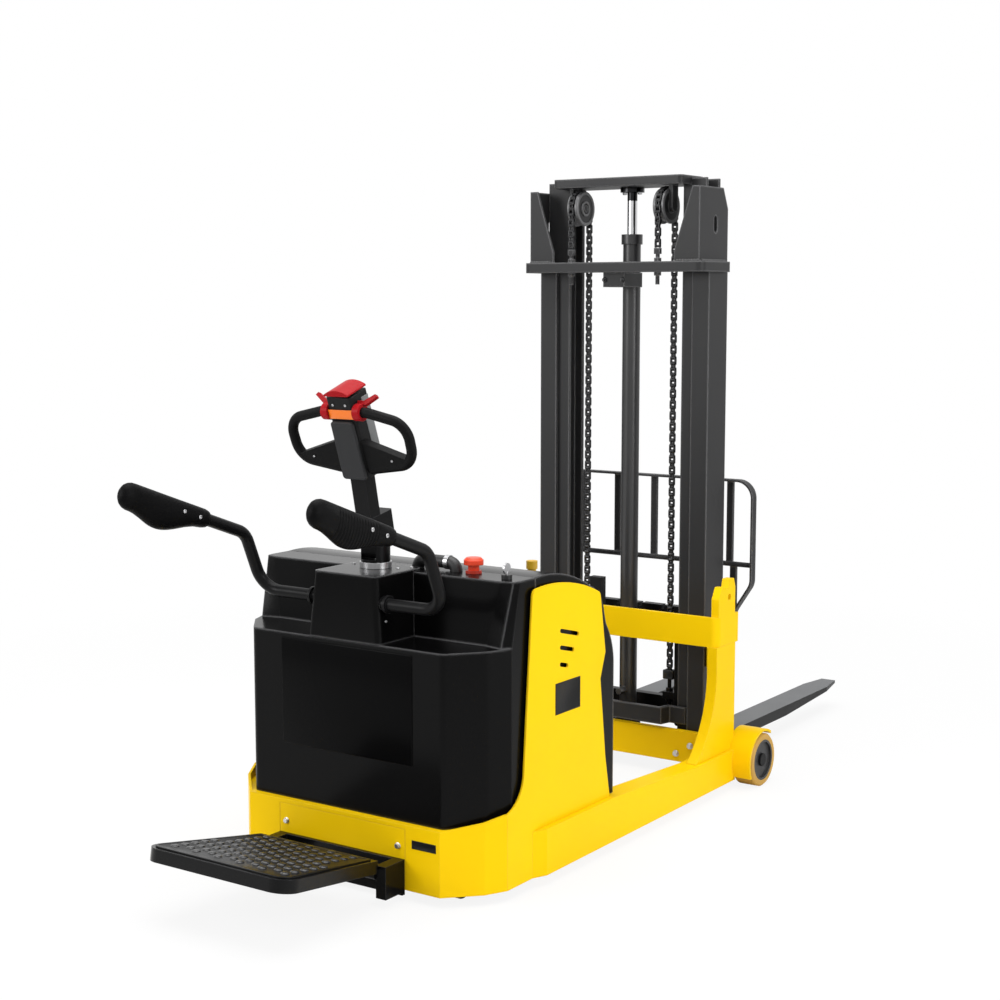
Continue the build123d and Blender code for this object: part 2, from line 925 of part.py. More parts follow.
with BuildPart() as console:
    for z, half, rear_y, front_y in (
        (hood_ledge, console_half_low, console_rear_y, dash_low_y - slide_gap),
        (hood_top, console_half_top, console_rear_y + console_cap, dash_high_y - slide_gap),
    ):
        with BuildSketch(Plane.XY.offset(z)) as section:
            with Locations((0, rear_y)):
                Rectangle(2 * half, front_y - rear_y, align=centre_low)
            fillet(section.vertices().group_by(Axis.Y)[0], console_round)
    loft(ruled=True)
    with BuildSketch(Plane.XY.offset(hood_top)) as cap:
        with Locations((0, console_rear_y + console_cap)):
            Rectangle(
                2 * console_half_top,
                console_cap_front_y - console_rear_y - console_cap,
                align=centre_low,
            )
        fillet(cap.vertices(), console_round)
    extrude(amount=console_cap)
    with BuildSketch(Plane.XY.offset(hood_ledge)):
        with Locations((0, steer_y)):
            Circle(column_hole_d / 2)
    extrude(amount=hood_top - hood_ledge, mode=Mode.SUBTRACT)
    with BuildSketch(Plane.XY.offset(hood_top)):
        with Locations((0, steer_y)):
            Circle(column_d / 2 + slide_gap)
    extrude(amount=console_cap, mode=Mode.SUBTRACT)
    with BuildSketch(Plane.YZ.offset(-console_half_low)):
        with Locations((arm_y, arm_z)):
            Circle(arm_tube / 2 + run_fit)
    extrude(amount=2 * console_half_low, mode=Mode.SUBTRACT)
write(console, "console")


# Dash fittings: switch bezels, oil filler and the short wiring conduit

with BuildPart() as dash_fittings:
    with BuildSketch(Plane.XY.offset(hood_top)):
        with Locations((stop_x, stop_y)):
            Circle(stop_base_d / 2)
            Circle(stop_stem_d / 2 + run_fit, mode=Mode.SUBTRACT)
    extrude(amount=stop_base_h)
    with BuildSketch(Plane.XY.offset(hood_top)):
        with Locations((key_x, key_y)):
            Circle(key_barrel_d / 2)
            Circle(key_shank_d / 2 + run_fit, mode=Mode.SUBTRACT)
    extrude(amount=key_barrel_h)
    with BuildSketch(Plane.XY.offset(hood_ledge)):
        with Locations((filler_x, filler_y)):
            Circle(filler_neck_d / 2)
    extrude(amount=filler_top - hood_ledge)
    with BuildSketch(Plane.XY.offset(filler_top)):
        with Locations((filler_x, filler_y)):
            Circle(filler_d / 2)
    extrude(amount=-filler_cap_h)
    with BuildLine() as route:
        FilletPolyline(
            (conduit_from_x, conduit_y, hood_top),
            (conduit_from_x, conduit_y, hood_top + conduit_rise),
            (conduit_to_x, conduit_y, hood_top + conduit_rise),
            (conduit_to_x, conduit_y, hood_top),
            radius=conduit_rise - slide_gap,
        )
    with BuildSketch(Plane(origin=route.line @ 0, z_dir=route.line % 0)):
        Circle(conduit_d / 2)
    sweep()
write(dash_fittings, "dash_fittings")

with BuildPart() as stop_button:
    stem_z = hood_top + stop_travel + slide_gap
    with BuildSketch(Plane.XY.offset(stem_z)):
        with Locations((stop_x, stop_y)):
            Circle(stop_stem_d / 2)
    extrude(amount=stop_stem_h)
    with BuildSketch(Plane.XY.offset(stem_z + stop_stem_h)):
        with Locations((stop_x, stop_y)):
            Circle(stop_d / 2)
    extrude(amount=stop_head_h)
    crown = stop_button.edges().filter_by(GeomType.CIRCLE).sort_by(Axis.Z)[-1]
    chamfer(crown, stop_head_h / 3)
write(stop_button, "stop_button")

with BuildPart() as key:
    with BuildSketch(Plane.XY.offset(hood_top + slide_gap)):
        with Locations((key_x, key_y)):
            Circle(key_shank_d / 2)
    extrude(amount=key_barrel_h + key_bow_d / 4)
    with BuildSketch(Plane.YZ.offset(key_x - key_t / 2)):
        with Locations((key_y, hood_top + key_barrel_h + slide_gap + key_bow_d / 2)):
            Circle(key_bow_d / 2)
    extrude(amount=key_t)
write(key, "key")


# Battery and hydraulic power unit inside the covers

pan_top = pan_floor + pan_t

with BuildPart() as battery:
    with BuildSketch(Plane.XY.offset(pan_top)):
        with Locations((0, battery_y)):
            Rectangle(battery_size[0], battery_size[1])
    extrude(amount=battery_size[2])
    with BuildSketch(Plane.XY.offset(pan_top + battery_size[2])):
        with GridLocations(battery_size[0] / 6, battery_size[1] / 2, 6, 2):
            with Locations((0, battery_y)):
                Circle(battery_cap_d / 2)
    extrude(amount=battery_cap_h)
write(battery, "battery")

with BuildPart() as hydraulic_unit:
    with BuildSketch(Plane.XY.offset(pan_top)) as tank:
        with Locations((tank_x, tank_y)):
            Rectangle(tank_size[0], tank_size[1])
        fillet(tank.vertices(), console_round)
    extrude(amount=tank_size[2])
    with BuildSketch(Plane.XY.offset(pan_top + tank_size[2])):
        with Locations((tank_x, tank_y)):
            Circle(pump_d / 2)
    extrude(amount=pump_h)
write(hydraulic_unit, "hydraulic_unit")


# Outer mast

mast_front_y = mast_rear_y + mast_depth
mast_mid_y = mast_rear_y + mast_depth / 2
foot_top = lower_beam_z + foot_t

with BuildPart() as outer_rail:
    with BuildSketch(Plane.XY.offset(foot_top)):
        with Locations((outer_half, mast_mid_y)):
            Rectangle(outer_width, mast_depth, align=high_centre)
        with Locations((outer_half - outer_web, mast_mid_y)):
            Rectangle(
                outer_width, mast_depth - 2 * outer_flange, align=high_centre, mode=Mode.SUBTRACT
            )
    extrude(amount=outer_top - foot_top)
write_both(outer_rail, "outer_rails")

with BuildPart() as mast_foot:
    with BuildSketch(Plane.XY.offset(lower_beam_z)):
        with Locations((0, mast_mid_y)):
            Rectangle(2 * outer_half, mast_depth)
    extrude(amount=foot_t)
    with BuildSketch(Plane.XY.offset(foot_top)):
        with Locations((0, cylinder_y)):
            Circle(socket_d / 2)
    extrude(amount=tube_foot_z - foot_top)
write(mast_foot, "mast_foot")

head_half_x = outer_half + head_arm
head_top = head_z + head_h
horn_half = head_half_x - horn_inset
horn_top = head_top + horn_h

with BuildPart() as outer_head:
    with BuildSketch(Plane.XY.offset(head_z)) as head_plan:
        with Locations((0, head_rear_y)):
            Rectangle(2 * head_half_x, head_arm_front_y - head_rear_y, align=centre_low)
        fillet(head_plan.vertices().group_by(Axis.Y)[0], head_corner)
        with Locations((0, head_rear_y + head_bar)):
            Rectangle(2 * outer_half, mast_depth + head_bar, align=centre_low, mode=Mode.SUBTRACT)
    extrude(amount=head_h)
    # Horn plates that stand on both ends of the head bar
    with BuildSketch(Plane.XZ.offset(-head_rear_y - head_corner)):
        with BuildLine():
            Polyline(
                (horn_half, head_top),
                (horn_half, horn_top),
                (horn_half - horn_top_w, horn_top),
                (horn_half - horn_foot_w, head_top + horn_slope / 2),
                (horn_half - horn_foot_w, head_top),
                close=True,
            )
        horn_rear = make_face()
        mirror(horn_rear, about=Plane.YZ)
    extrude(amount=horn_t)
    for side in (-horn_half, horn_half - horn_t):
        with BuildSketch(Plane.YZ.offset(side)):
            with BuildLine():
                Polyline(
                    (head_rear_y + head_corner, head_top),
                    (horn_front_y, head_top),
                    (horn_front_y, horn_top - horn_slope),
                    (horn_front_y - horn_slope / 2, horn_top),
                    (head_rear_y + head_corner, horn_top),
                    close=True,
                )
            make_face()
            with Locations((horn_front_y - horn_slot_set, (head_top + horn_top) / 2)):
                SlotOverall(horn_slot_l, horn_slot_w, rotation=90, mode=Mode.SUBTRACT)
        extrude(amount=horn_t)
    # Chain anchor bolts with their nuts and eyes
    strand_y = pulley_y - pulley_pitch_r
    for x in (-chain_x, chain_x):
        with BuildSketch(Plane.XY.offset(head_z - anchor_tail)):
            with Locations((x, strand_y)):
                Circle(anchor_rod_d / 2)
        extrude(amount=anchor_top_z - head_z + anchor_tail)
        with BuildSketch(Plane.XY.offset(head_z - anchor_nut_h)):
            with Locations((x, strand_y)):
                RegularPolygon(anchor_rod_d, 6)
        extrude(amount=head_h + 2 * anchor_nut_h)
        with BuildSketch(Plane.XY.offset(anchor_top_z)):
            with Locations((x, strand_y)):
                Rectangle(chain_outer_w, chain_plate)
        extrude(amount=-anchor_eye_h)
    # Clamp that steadies the lift cylinder under the head bar
    with BuildSketch(Plane.XY.offset(head_z - clamp_h)):
        with Locations((0, strand_y)):
            Rectangle(2 * clamp_half, cylinder_y - strand_y, align=centre_low)
        with Locations((0, cylinder_y)):
            Circle(tube_d / 2 + run_fit, mode=Mode.SUBTRACT)
    extrude(amount=clamp_h)
write(outer_head, "outer_head")


# Lift cylinder

with BuildPart() as cylinder_tube:
    with BuildSketch(Plane.XY.offset(tube_foot_z)):
        with Locations((0, cylinder_y)):
            Circle(tube_d / 2)
    extrude(amount=tube_top_z - tube_foot_z)
    with BuildSketch(Plane.XY.offset(tube_top_z)):
        with Locations((0, cylinder_y)):
            Circle(gland_d / 2)
    extrude(amount=-gland_h)
    with BuildSketch(Plane.XY.offset(tube_foot_z + tube_floor)):
        with Locations((0, cylinder_y)):
            Circle(tube_bore / 2)
    extrude(amount=tube_top_z - gland_h - tube_foot_z - tube_floor, mode=Mode.SUBTRACT)
    with BuildSketch(Plane.XY.offset(tube_top_z)):
        with Locations((0, cylinder_y)):
            Circle(rod_d / 2 + run_fit)
    extrude(amount=-gland_h, mode=Mode.SUBTRACT)
    # Hydraulic inlet, kept to one side of the bore wall
    with BuildSketch(Plane.XZ.offset(-cylinder_y + tube_d / 2 - (tube_d - tube_bore) / 4)):
        with Locations((0, port_z)):
            RegularPolygon(port_d / 2, 6)
    extrude(amount=port_l)
write(cylinder_tube, "cylinder_tube")

with BuildPart() as cylinder_rod:
    with BuildSketch(Plane.XY.offset(rod_foot_z)):
        with Locations((0, cylinder_y)):
            Circle(rod_d / 2)
    extrude(amount=inner_top_z - rod_foot_z)
    with BuildSketch(Plane.XY.offset(inner_top_z)):
        with Locations((0, cylinder_y)):
            Circle(rod_flange_d / 2)
    extrude(amount=-rod_flange_t)
write(cylinder_rod, "cylinder_rod")


# Inner mast

inner_rear_y = mast_rear_y + outer_flange + mast_gap
inner_front_y = mast_front_y - outer_flange - mast_gap
inner_web_out = inner_web_in + inner_web
track = inner_front_y - inner_rear_y - 2 * inner_flange
foot_roller_d = mast_depth - 2 * outer_flange - 2 * slide_gap
carriage_roller_d = track - 2 * slide_gap
foot_roller_z = inner_foot_z + inner_notch_h / 2
foot_roller_x = inner_web_out + 3 * mast_gap

with BuildPart() as inner_rail:
    with BuildSketch(Plane.XY.offset(inner_foot_z)):
        with Locations((inner_in, mast_mid_y)):
            Rectangle(inner_out - inner_in, inner_front_y - inner_rear_y, align=low_centre)
            Rectangle(inner_web_in - inner_in, track, align=low_centre, mode=Mode.SUBTRACT)
        with Locations((inner_out, mast_mid_y)):
            Rectangle(inner_out - inner_web_out, track, align=high_centre, mode=Mode.SUBTRACT)
    extrude(amount=inner_top_z - inner_foot_z)
    # Beside the top plate the rail runs on a little higher
    with BuildSketch(Plane.XY.offset(inner_top_z)):
        with Locations((inner_out, mast_mid_y)):
            Rectangle(
                inner_out - top_plate_half - slide_gap, inner_front_y - inner_rear_y, align=high_centre
            )
            Rectangle(inner_out - inner_web_out, track, align=high_centre, mode=Mode.SUBTRACT)
    extrude(amount=rail_over)
    # The outer flanges stop above the foot roller, which runs in the outer rail
    with BuildSketch(Plane.XY.offset(inner_foot_z)):
        with Locations((inner_web_out, mast_mid_y)):
            Rectangle(inner_out - inner_web_out, mast_depth, align=low_centre)
    extrude(amount=inner_notch_h, mode=Mode.SUBTRACT)
    with BuildSketch(Plane.YZ.offset(inner_web_out)):
        with Locations((mast_mid_y, foot_roller_z)):
            Circle(foot_roller_pin / 2)
    extrude(amount=3 * mast_gap + foot_roller_w)
write_both(inner_rail, "inner_rails")

with BuildPart() as foot_rollers:
    with BuildSketch(Plane.YZ.offset(foot_roller_x)):
        with Locations((mast_mid_y, foot_roller_z)):
            Circle(foot_roller_d / 2)
            Circle(foot_roller_pin / 2 + run_fit, mode=Mode.SUBTRACT)
    right_roller = extrude(amount=foot_roller_w)
    mirror(right_roller, about=Plane.YZ)
write(foot_rollers, "foot_rollers")

cheek_out = chain_x + pulley_w / 2 + slide_gap
pin_end = chain_x - pulley_w / 2 - slide_gap

with BuildPart() as inner_crossmembers:
    with BuildSketch(Plane.XY.offset(inner_top_z)) as top_plan:
        with Locations((0, top_plate_rear_y)):
            Rectangle(2 * top_plate_half, top_plate_front_y - top_plate_rear_y, align=centre_low)
        fillet(top_plan.vertices(), top_plate_t / 2)
    extrude(amount=top_plate_t)
    # One cheek on the outer side of each chain pulley, with its pin and end cap
    for turn in (1, -1):
        with BuildSketch(Plane.YZ.offset(turn * cheek_out)):
            with Locations((pulley_y, pulley_z)):
                Circle(cheek_w / 2)
                Rectangle(cheek_w, inner_top_z - pulley_z, align=centre_low)
        extrude(amount=turn * cheek_t)
        with BuildSketch(Plane.YZ.offset(turn * cheek_out)):
            with Locations((pulley_y, pulley_z)):
                Circle(pulley_pin_d / 2)
        extrude(amount=turn * (pin_end - cheek_out))
        with BuildSketch(Plane.YZ.offset(turn * pin_end)):
            with Locations((pulley_y, pulley_z)):
                Circle(pulley_pin_d / 2 + slide_gap * 8)
        extrude(amount=-turn * cheek_t / 3)
    # Lower tie, cranked rearward round the cylinder's inlet
    with BuildSketch(Plane.XY.offset(tie_z)):
        with BuildLine():
            Polyline(
                (-tie_half, inner_rear_y),
                (-tie_half, inner_rear_y - tie_t),
                (-tie_bulge_half - tie_t, inner_rear_y - tie_t),
                (-tie_bulge_half, tie_bulge_y),
                (tie_bulge_half, tie_bulge_y),
                (tie_bulge_half + tie_t, inner_rear_y - tie_t),
                (tie_half, inner_rear_y - tie_t),
                (tie_half, inner_rear_y),
                (tie_bulge_half, inner_rear_y),
                (tie_bulge_half - tie_t, tie_bulge_y + tie_t),
                (-tie_bulge_half + tie_t, tie_bulge_y + tie_t),
                (-tie_bulge_half, inner_rear_y),
                close=True,
            )
        make_face()
    extrude(amount=tie_h)
write(inner_crossmembers, "inner_crossmembers")


# Chain pulleys and roller chains

groove_r = pulley_pitch_r - chain_plate / 2 - slide_gap
groove_w = chain_outer_w + 2 * slide_gap

with BuildPart() as chain_pulleys:
    with BuildSketch(Plane((chain_x, pulley_y, pulley_z))):
        Rectangle(pulley_w, pulley_flange_d / 2, align=centre_low)
        Rectangle(2 * pulley_w, pulley_pin_d / 2 + run_fit, align=centre_low, mode=Mode.SUBTRACT)
        with Locations((0, groove_r)):
            Rectangle(groove_w, pulley_flange_d, align=centre_low, mode=Mode.SUBTRACT)
    right_pulley = revolve(axis=Axis((chain_x, pulley_y, pulley_z), (1, 0, 0)))
    mirror(right_pulley, about=Plane.YZ)
write(chain_pulleys, "chain_pulleys")

chain_foot_rear = anchor_top_z + slide_gap
chain_foot_front = carriage_anchor_z + slide_gap
rear_run = pulley_z - chain_foot_rear
wrap_run = math.pi * pulley_pitch_r
front_run = pulley_z - chain_foot_front
link_count = int((rear_run + wrap_run + front_run - link_overlap) / chain_pitch)


def link_place(distance):
    """Side view place and lean of the chain at a distance along it from the rear anchor."""
    if distance < rear_run:
        return pulley_y - pulley_pitch_r, chain_foot_rear + distance, 90
    turn = (distance - rear_run) / pulley_pitch_r
    if turn < math.pi:
        return (
            pulley_y - pulley_pitch_r * math.cos(turn),
            pulley_z + pulley_pitch_r * math.sin(turn),
            90 - math.degrees(turn),
        )
    return pulley_y + pulley_pitch_r, pulley_z - (distance - rear_run - wrap_run), 90


link_half = (chain_pitch + link_overlap) / 2
link_outline = [
    (link_half, 0),
    (link_half - chain_plate / 4, chain_plate / 2),
    (chain_plate / 4 - link_half, chain_plate / 2),
    (-link_half, 0),
    (chain_plate / 4 - link_half, -chain_plate / 2),
    (link_half - chain_plate / 4, -chain_plate / 2),
]

with BuildPart() as lift_chain:
    for first, width in ((0, chain_outer_w), (1, chain_inner_w)):
        with BuildSketch(Plane.YZ.offset(chain_x - width / 2)):
            for link in range(first, link_count, 2):
                place_y, place_z, lean = link_place(link_half + link * chain_pitch)
                with Locations((place_y, place_z)):
                    Polygon(*link_outline, rotation=lean, align=None)
        extrude(amount=width)
write_pair(lift_chain, "lift_chain")


# Fork carriage

plate_out = side_in + carriage_plate_t
bar_front_y = bar_rear_y + bar_t
bar_top = bar_low_z + bar_span
carriage_roller_x = inner_in + 2 * mast_gap
carriage_rear_y = pulley_y + cheek_w
strand_front_y = pulley_y + pulley_pitch_r

with BuildPart() as carriage_half:
    with BuildSketch(Plane.YZ.offset(side_in)) as plate:
        with Locations((carriage_rear_y, carriage_low_z)):
            Rectangle(bar_rear_y - carriage_rear_y, carriage_top_z - carriage_low_z, align=low_low)
        fillet(plate.vertices().group_by(Axis.X)[0], carriage_corner)
    extrude(amount=carriage_plate_t)
    for z in (roller_low_z, roller_high_z):
        with BuildSketch(Plane.YZ.offset(plate_out)):
            with Locations((mast_mid_y, z)):
                Circle(carriage_roller_pin / 2)
        extrude(amount=carriage_roller_x + carriage_roller_w - plate_out)
    # Chain lug with its anchor bolt
    with BuildSketch(Plane.XY.offset(lug_z)):
        with Locations((side_in, strand_front_y)):
            Rectangle(lug_reach, cheek_w, align=high_centre)
    extrude(amount=lug_t)
    with BuildSketch(Plane.XY.offset(lug_z - lug_t)):
        with Locations((chain_x, strand_front_y)):
            Circle(anchor_rod_d / 2)
    extrude(amount=carriage_anchor_z - lug_z + lug_t)
    with BuildSketch(Plane.XY.offset(lug_z - anchor_nut_h)):
        with Locations((chain_x, strand_front_y)):
            RegularPolygon(anchor_rod_d, 6)
    extrude(amount=lug_t + 2 * anchor_nut_h)

with BuildPart() as carriage_frame:
    add(carriage_half.part)
    mirror(carriage_half.part, about=Plane.YZ)
    for z in (bar_low_z, bar_top - bar_h):
        with BuildSketch(Plane.XZ.offset(-bar_front_y)):
            with Locations((0, z)):
                Rectangle(2 * bar_half, bar_h, align=centre_low)
        extrude(amount=bar_t)
    # Notches that the fork locks drop into
    with BuildSketch(Plane.XZ.offset(-bar_front_y)):
        with Locations((0, bar_top)):
            with GridLocations(bar_notch_step, 1, bar_notch_count, 1):
                Rectangle(bar_notch, 2 * bar_notch)
    extrude(amount=bar_t, mode=Mode.SUBTRACT)
write(carriage_frame, "carriage_frame")

for z, name in ((roller_low_z, "carriage_rollers_lower"), (roller_high_z, "carriage_rollers_upper")):
    with BuildPart() as carriage_rollers:
        with BuildSketch(Plane.YZ.offset(carriage_roller_x)):
            with Locations((mast_mid_y, z)):
                Circle(carriage_roller_d / 2)
                Circle(carriage_roller_pin / 2 + run_fit, mode=Mode.SUBTRACT)
        right_roller = extrude(amount=carriage_roller_w)
        mirror(right_roller, about=Plane.YZ)
    write(carriage_rollers, name)

with BuildPart() as load_backrest:
    with BuildLine() as hoop:
        FilletPolyline(
            (-rest_foot_x, rest_y, rest_foot_z),
            (-rest_foot_x, rest_y, rest_bend_low),
            (-rest_half, rest_y, rest_bend_high),
            (-rest_half, rest_y, rest_top),
            (rest_half, rest_y, rest_top),
            (rest_half, rest_y, rest_bend_high),
            (rest_foot_x, rest_y, rest_bend_low),
            (rest_foot_x, rest_y, rest_foot_z),
            radius=rest_corner,
        )
    with BuildSketch(Plane(origin=hoop.line @ 0, z_dir=hoop.line % 0)):
        Rectangle(rest_strap_t, rest_strap)
    sweep()
    with BuildSketch(Plane.YZ.offset(-rest_half)):
        with Locations((rest_y, rest_mid)):
            Circle(rest_tube / 2)
    extrude(amount=2 * rest_half)
    with BuildSketch(Plane.XY.offset(rest_mid)):
        with GridLocations(rest_bar_step, 1, rest_bar_count, 1):
            with Locations((0, rest_y)):
                Rectangle(rest_bar_w, rest_bar_t)
    extrude(amount=rest_top - rest_mid)
    # The outermost bars run down to feet bolted to the front of the upper carriage bar
    with BuildSketch(Plane.XY.offset(rest_foot_z - rest_bar_w)):
        for x in (-rest_stand_x, rest_stand_x):
            with Locations((x, rest_y)):
                Rectangle(rest_bar_w, rest_bar_t)
    extrude(amount=rest_mid - rest_foot_z + rest_bar_w)
    with BuildSketch(Plane.XZ.offset(-rest_y)):
        for x in (-rest_stand_x, rest_stand_x):
            with Locations((x, rest_foot_z)):
                Rectangle(rest_bar_w, 2 * rest_bar_w)
    extrude(amount=rest_y - bar_front_y)
write(load_backrest, "load_backrest")


# Forks

shank_rear_y = bar_front_y + slide_gap
shank_front_y = shank_rear_y + fork_t
hook_z = bar_top + slide_gap
lip_front_y = bar_rear_y - slide_gap
heel_hook_z = bar_low_z - slide_gap
fork_mid_x = fork_in + fork_w / 2

with BuildPart() as fork:
    with BuildSketch(Plane.YZ.offset(fork_in)) as side_view:
        with BuildLine():
            Polyline(
                (shank_rear_y, fork_top - fork_t),
                (fork_taper_y, fork_top - fork_t),
                (fork_tip_y, fork_top - fork_tip_t),
                (fork_tip_y, fork_top),
                (shank_front_y, fork_top),
                (shank_front_y, hook_z + hook_h),
                (lip_front_y - hook_lip, hook_z + hook_h),
                (lip_front_y - hook_lip, hook_z - hook_h),
                (lip_front_y, hook_z - hook_h),
                (lip_front_y, hook_z),
                (shank_rear_y, hook_z),
                (shank_rear_y, heel_hook_z),
                (shank_rear_y - hook_h, heel_hook_z),
                (shank_rear_y - hook_h, heel_hook_z - hook_h),
                (shank_rear_y, heel_hook_z - hook_h),
                close=True,
            )
        make_face()
        heel = side_view.vertices().filter_by_position(Axis.X, shank_rear_y - 1, shank_front_y + 1)
        fillet(heel.sort_by(Axis.Y)[0], heel_round)
        inner_heel = side_view.vertices().filter_by_position(Axis.X, shank_front_y - 1, shank_front_y + 1)
        fillet(inner_heel.sort_by(Axis.Y)[0], heel_round / 2)
    extrude(amount=fork_w)
    with BuildSketch():
        with BuildLine():
            Polyline(
                (fork_in, 0),
                (fork_in + fork_w, 0),
                (fork_in + fork_w, fork_tip_y - fork_nose),
                (fork_mid_x + fork_tip_w / 2, fork_tip_y),
                (fork_mid_x - fork_tip_w / 2, fork_tip_y),
                (fork_in, fork_tip_y - fork_nose),
                close=True,
            )
        make_face()
    extrude(amount=rest_top, mode=Mode.INTERSECT)
    with BuildSketch(Plane.XY.offset(hook_z + hook_h)):
        with Locations((fork_mid_x, bar_rear_y + bar_t / 2)):
            Circle(lock_knob_d / 2)
    extrude(amount=lock_knob_h)
write_pair(fork, "fork")


# Drive unit, steering column and drive wheel

ring_z = skirt_top + slide_gap
drive_top = ring_z + ring_t + deck_t
drive_axle_z = drive_wheel_d / 2
gear_in = drive_wheel_w / 2 + wheel_gap / 2
collar_z = hood_top + console_cap + slide_gap
yoke_z = collar_z + collar_h
yoke_slot = tiller_w / 2 + slide_gap

with BuildPart() as drive_unit:
    with BuildSketch(Plane.XY.offset(ring_z)):
        with Locations((0, steer_y)):
            Circle(ring_d / 2)
            Circle(drive_hole_d / 2 - ring_t / 2, mode=Mode.SUBTRACT)
    extrude(amount=ring_t)
    for z, diameter, height in (
        (ring_z + ring_t, ring_d, deck_t),
        (drive_top, motor_d, motor_h),
        (drive_top + motor_h, column_d, collar_z - drive_top - motor_h),
        (collar_z, collar_d, collar_h),
        (yoke_z, yoke_d, yoke_h),
    ):
        with BuildSketch(Plane.XY.offset(z)):
            with Locations((0, steer_y)):
                Circle(diameter / 2)
        extrude(amount=height)
    # Fork of the yoke, with the pin the tiller swings on
    with BuildSketch(Plane.XY.offset(yoke_z + yoke_floor)):
        with Locations((0, steer_y)):
            Rectangle(2 * yoke_slot, yoke_d)
    extrude(amount=yoke_h - yoke_floor, mode=Mode.SUBTRACT)
    with BuildSketch(Plane.YZ.offset(-yoke_slot)):
        with Locations((tiller_pivot_y, tiller_pivot_z)):
            Circle(tiller_pin_d / 2)
    extrude(amount=2 * yoke_slot)
    # Gear case beside the wheel, and the axle it carries
    with BuildSketch(Plane.YZ.offset(gear_in)):
        with Locations((steer_y, drive_axle_z)):
            Circle(gear_half)
        with Locations((steer_y, drive_axle_z)):
            Rectangle(2 * gear_half, ring_z + ring_t - drive_axle_z, align=centre_low)
    extrude(amount=gear_t)
    with BuildSketch(Plane.YZ.offset(gear_in)):
        with Locations((steer_y, drive_axle_z)):
            Circle(drive_axle_d / 2)
    extrude(amount=-gear_in - drive_wheel_w / 2 - slide_gap)
    with BuildSketch(Plane.YZ.offset(-drive_wheel_w / 2 - slide_gap)):
        with Locations((steer_y, drive_axle_z)):
            Circle(drive_axle_d)
    extrude(amount=-fender_t)
write(drive_unit, "drive_unit")

with BuildPart() as drive_wheel:
    with BuildSketch(Plane.YZ.offset(-drive_wheel_w / 2)):
        with Locations((steer_y, drive_axle_z)):
            Circle(drive_wheel_d / 2)
            Circle(drive_axle_d / 2 + run_fit, mode=Mode.SUBTRACT)
    extrude(amount=drive_wheel_w)
    with BuildSketch(Plane.YZ.offset(-drive_wheel_w / 2)):
        with Locations((steer_y, drive_axle_z)):
            Circle(drive_wheel_d / 2 - drive_tread)
            Circle(drive_axle_d, mode=Mode.SUBTRACT)
    extrude(amount=hub_dish, mode=Mode.SUBTRACT)
write(drive_wheel, "drive_wheel")


# Stabiliser casters

caster_axle_z = caster_wheel_d / 2
caster_axle_y = caster_y - caster_trail
caster_plate_z = skirt_top - deck_t - slide_gap - caster_plate_t
caster_cheek_in = caster_wheel_w / 2 + mast_gap

with BuildPart() as caster_yoke:
    with BuildSketch(Plane.XY.offset(caster_plate_z)):
        with Locations((caster_x, caster_y)):
            Circle(caster_cheek_in + caster_plate_t)
    extrude(amount=caster_plate_t)
    with BuildSketch(Plane.XY.offset(caster_plate_z)):
        with Locations((caster_x, caster_y)):
            Circle(caster_stem_d / 2)
    extrude(amount=caster_plate_t + 2 * slide_gap + deck_t)
    with BuildSketch(Plane.XY.offset(skirt_top + slide_gap)):
        with Locations((caster_x, caster_y)):
            RegularPolygon(caster_stem_d, 6)
    extrude(amount=caster_plate_t)
    for side in (caster_x - caster_cheek_in - caster_cheek_t, caster_x + caster_cheek_in):
        with BuildSketch(Plane.YZ.offset(side)):
            with BuildLine():
                Polyline(
                    (caster_y - caster_cheek_in, caster_plate_z),
                    (caster_axle_y - caster_axle_d, caster_axle_z),
                    (caster_axle_y, caster_axle_z - caster_axle_d),
                    (caster_axle_y + caster_axle_d, caster_axle_z),
                    (caster_y + caster_cheek_in, caster_plate_z),
                    close=True,
                )
            make_face()
        extrude(amount=caster_cheek_t)
    with BuildSketch(Plane.YZ.offset(caster_x - caster_cheek_in)):
        with Locations((caster_axle_y, caster_axle_z)):
            Circle(caster_axle_d / 2)
    extrude(amount=2 * caster_cheek_in)
write_pair(caster_yoke, "caster_yoke")

with BuildPart() as caster_wheel:
    with BuildSketch(Plane.YZ.offset(caster_x - caster_wheel_w / 2)):
        with Locations((caster_axle_y, caster_axle_z)):
            Circle(caster_wheel_d / 2)
            Circle(caster_axle_d / 2 + run_fit, mode=Mode.SUBTRACT)
    extrude(amount=caster_wheel_w)
write_pair(caster_wheel, "caster_wheel")


# Tiller arm and its control head, drawn in the arm's own leaning frame

lean_sin = math.sin(math.radians(tiller_lean))
lean_cos = math.cos(math.radians(tiller_lean))


def tiller_point(x, forward, along):
    """A point given across, forward of and along the tiller arm."""
    return (
        x,
        tiller_pivot_y + forward * lean_cos - along * lean_sin,
        tiller_pivot_z + forward * lean_sin + along * lean_cos,
    )


head_sin = math.sin(math.radians(tiller_lean + head_tip))
head_cos = math.cos(math.radians(tiller_lean + head_tip))


def head_point(x, forward, along):
    """A point given across, forward of and along the control head, which leans further back."""
    _, foot_y, foot_z = tiller_point(0, head_set, head_low)
    rise = along - head_low
    return (
        x,
        foot_y + forward * head_cos - rise * head_sin,
        foot_z + forward * head_sin + rise * head_cos,
    )


def across_plane(along):
    """Square across the head; sketches are drawn as across, forward."""
    return Plane(origin=head_point(0, 0, along), x_dir=(1, 0, 0), z_dir=(0, -head_sin, head_cos))


def side_plane(x):
    """Side view of the head; sketches are drawn as forward, along."""
    return Plane(origin=head_point(x, 0, 0), x_dir=(0, head_cos, head_sin), z_dir=(1, 0, 0))


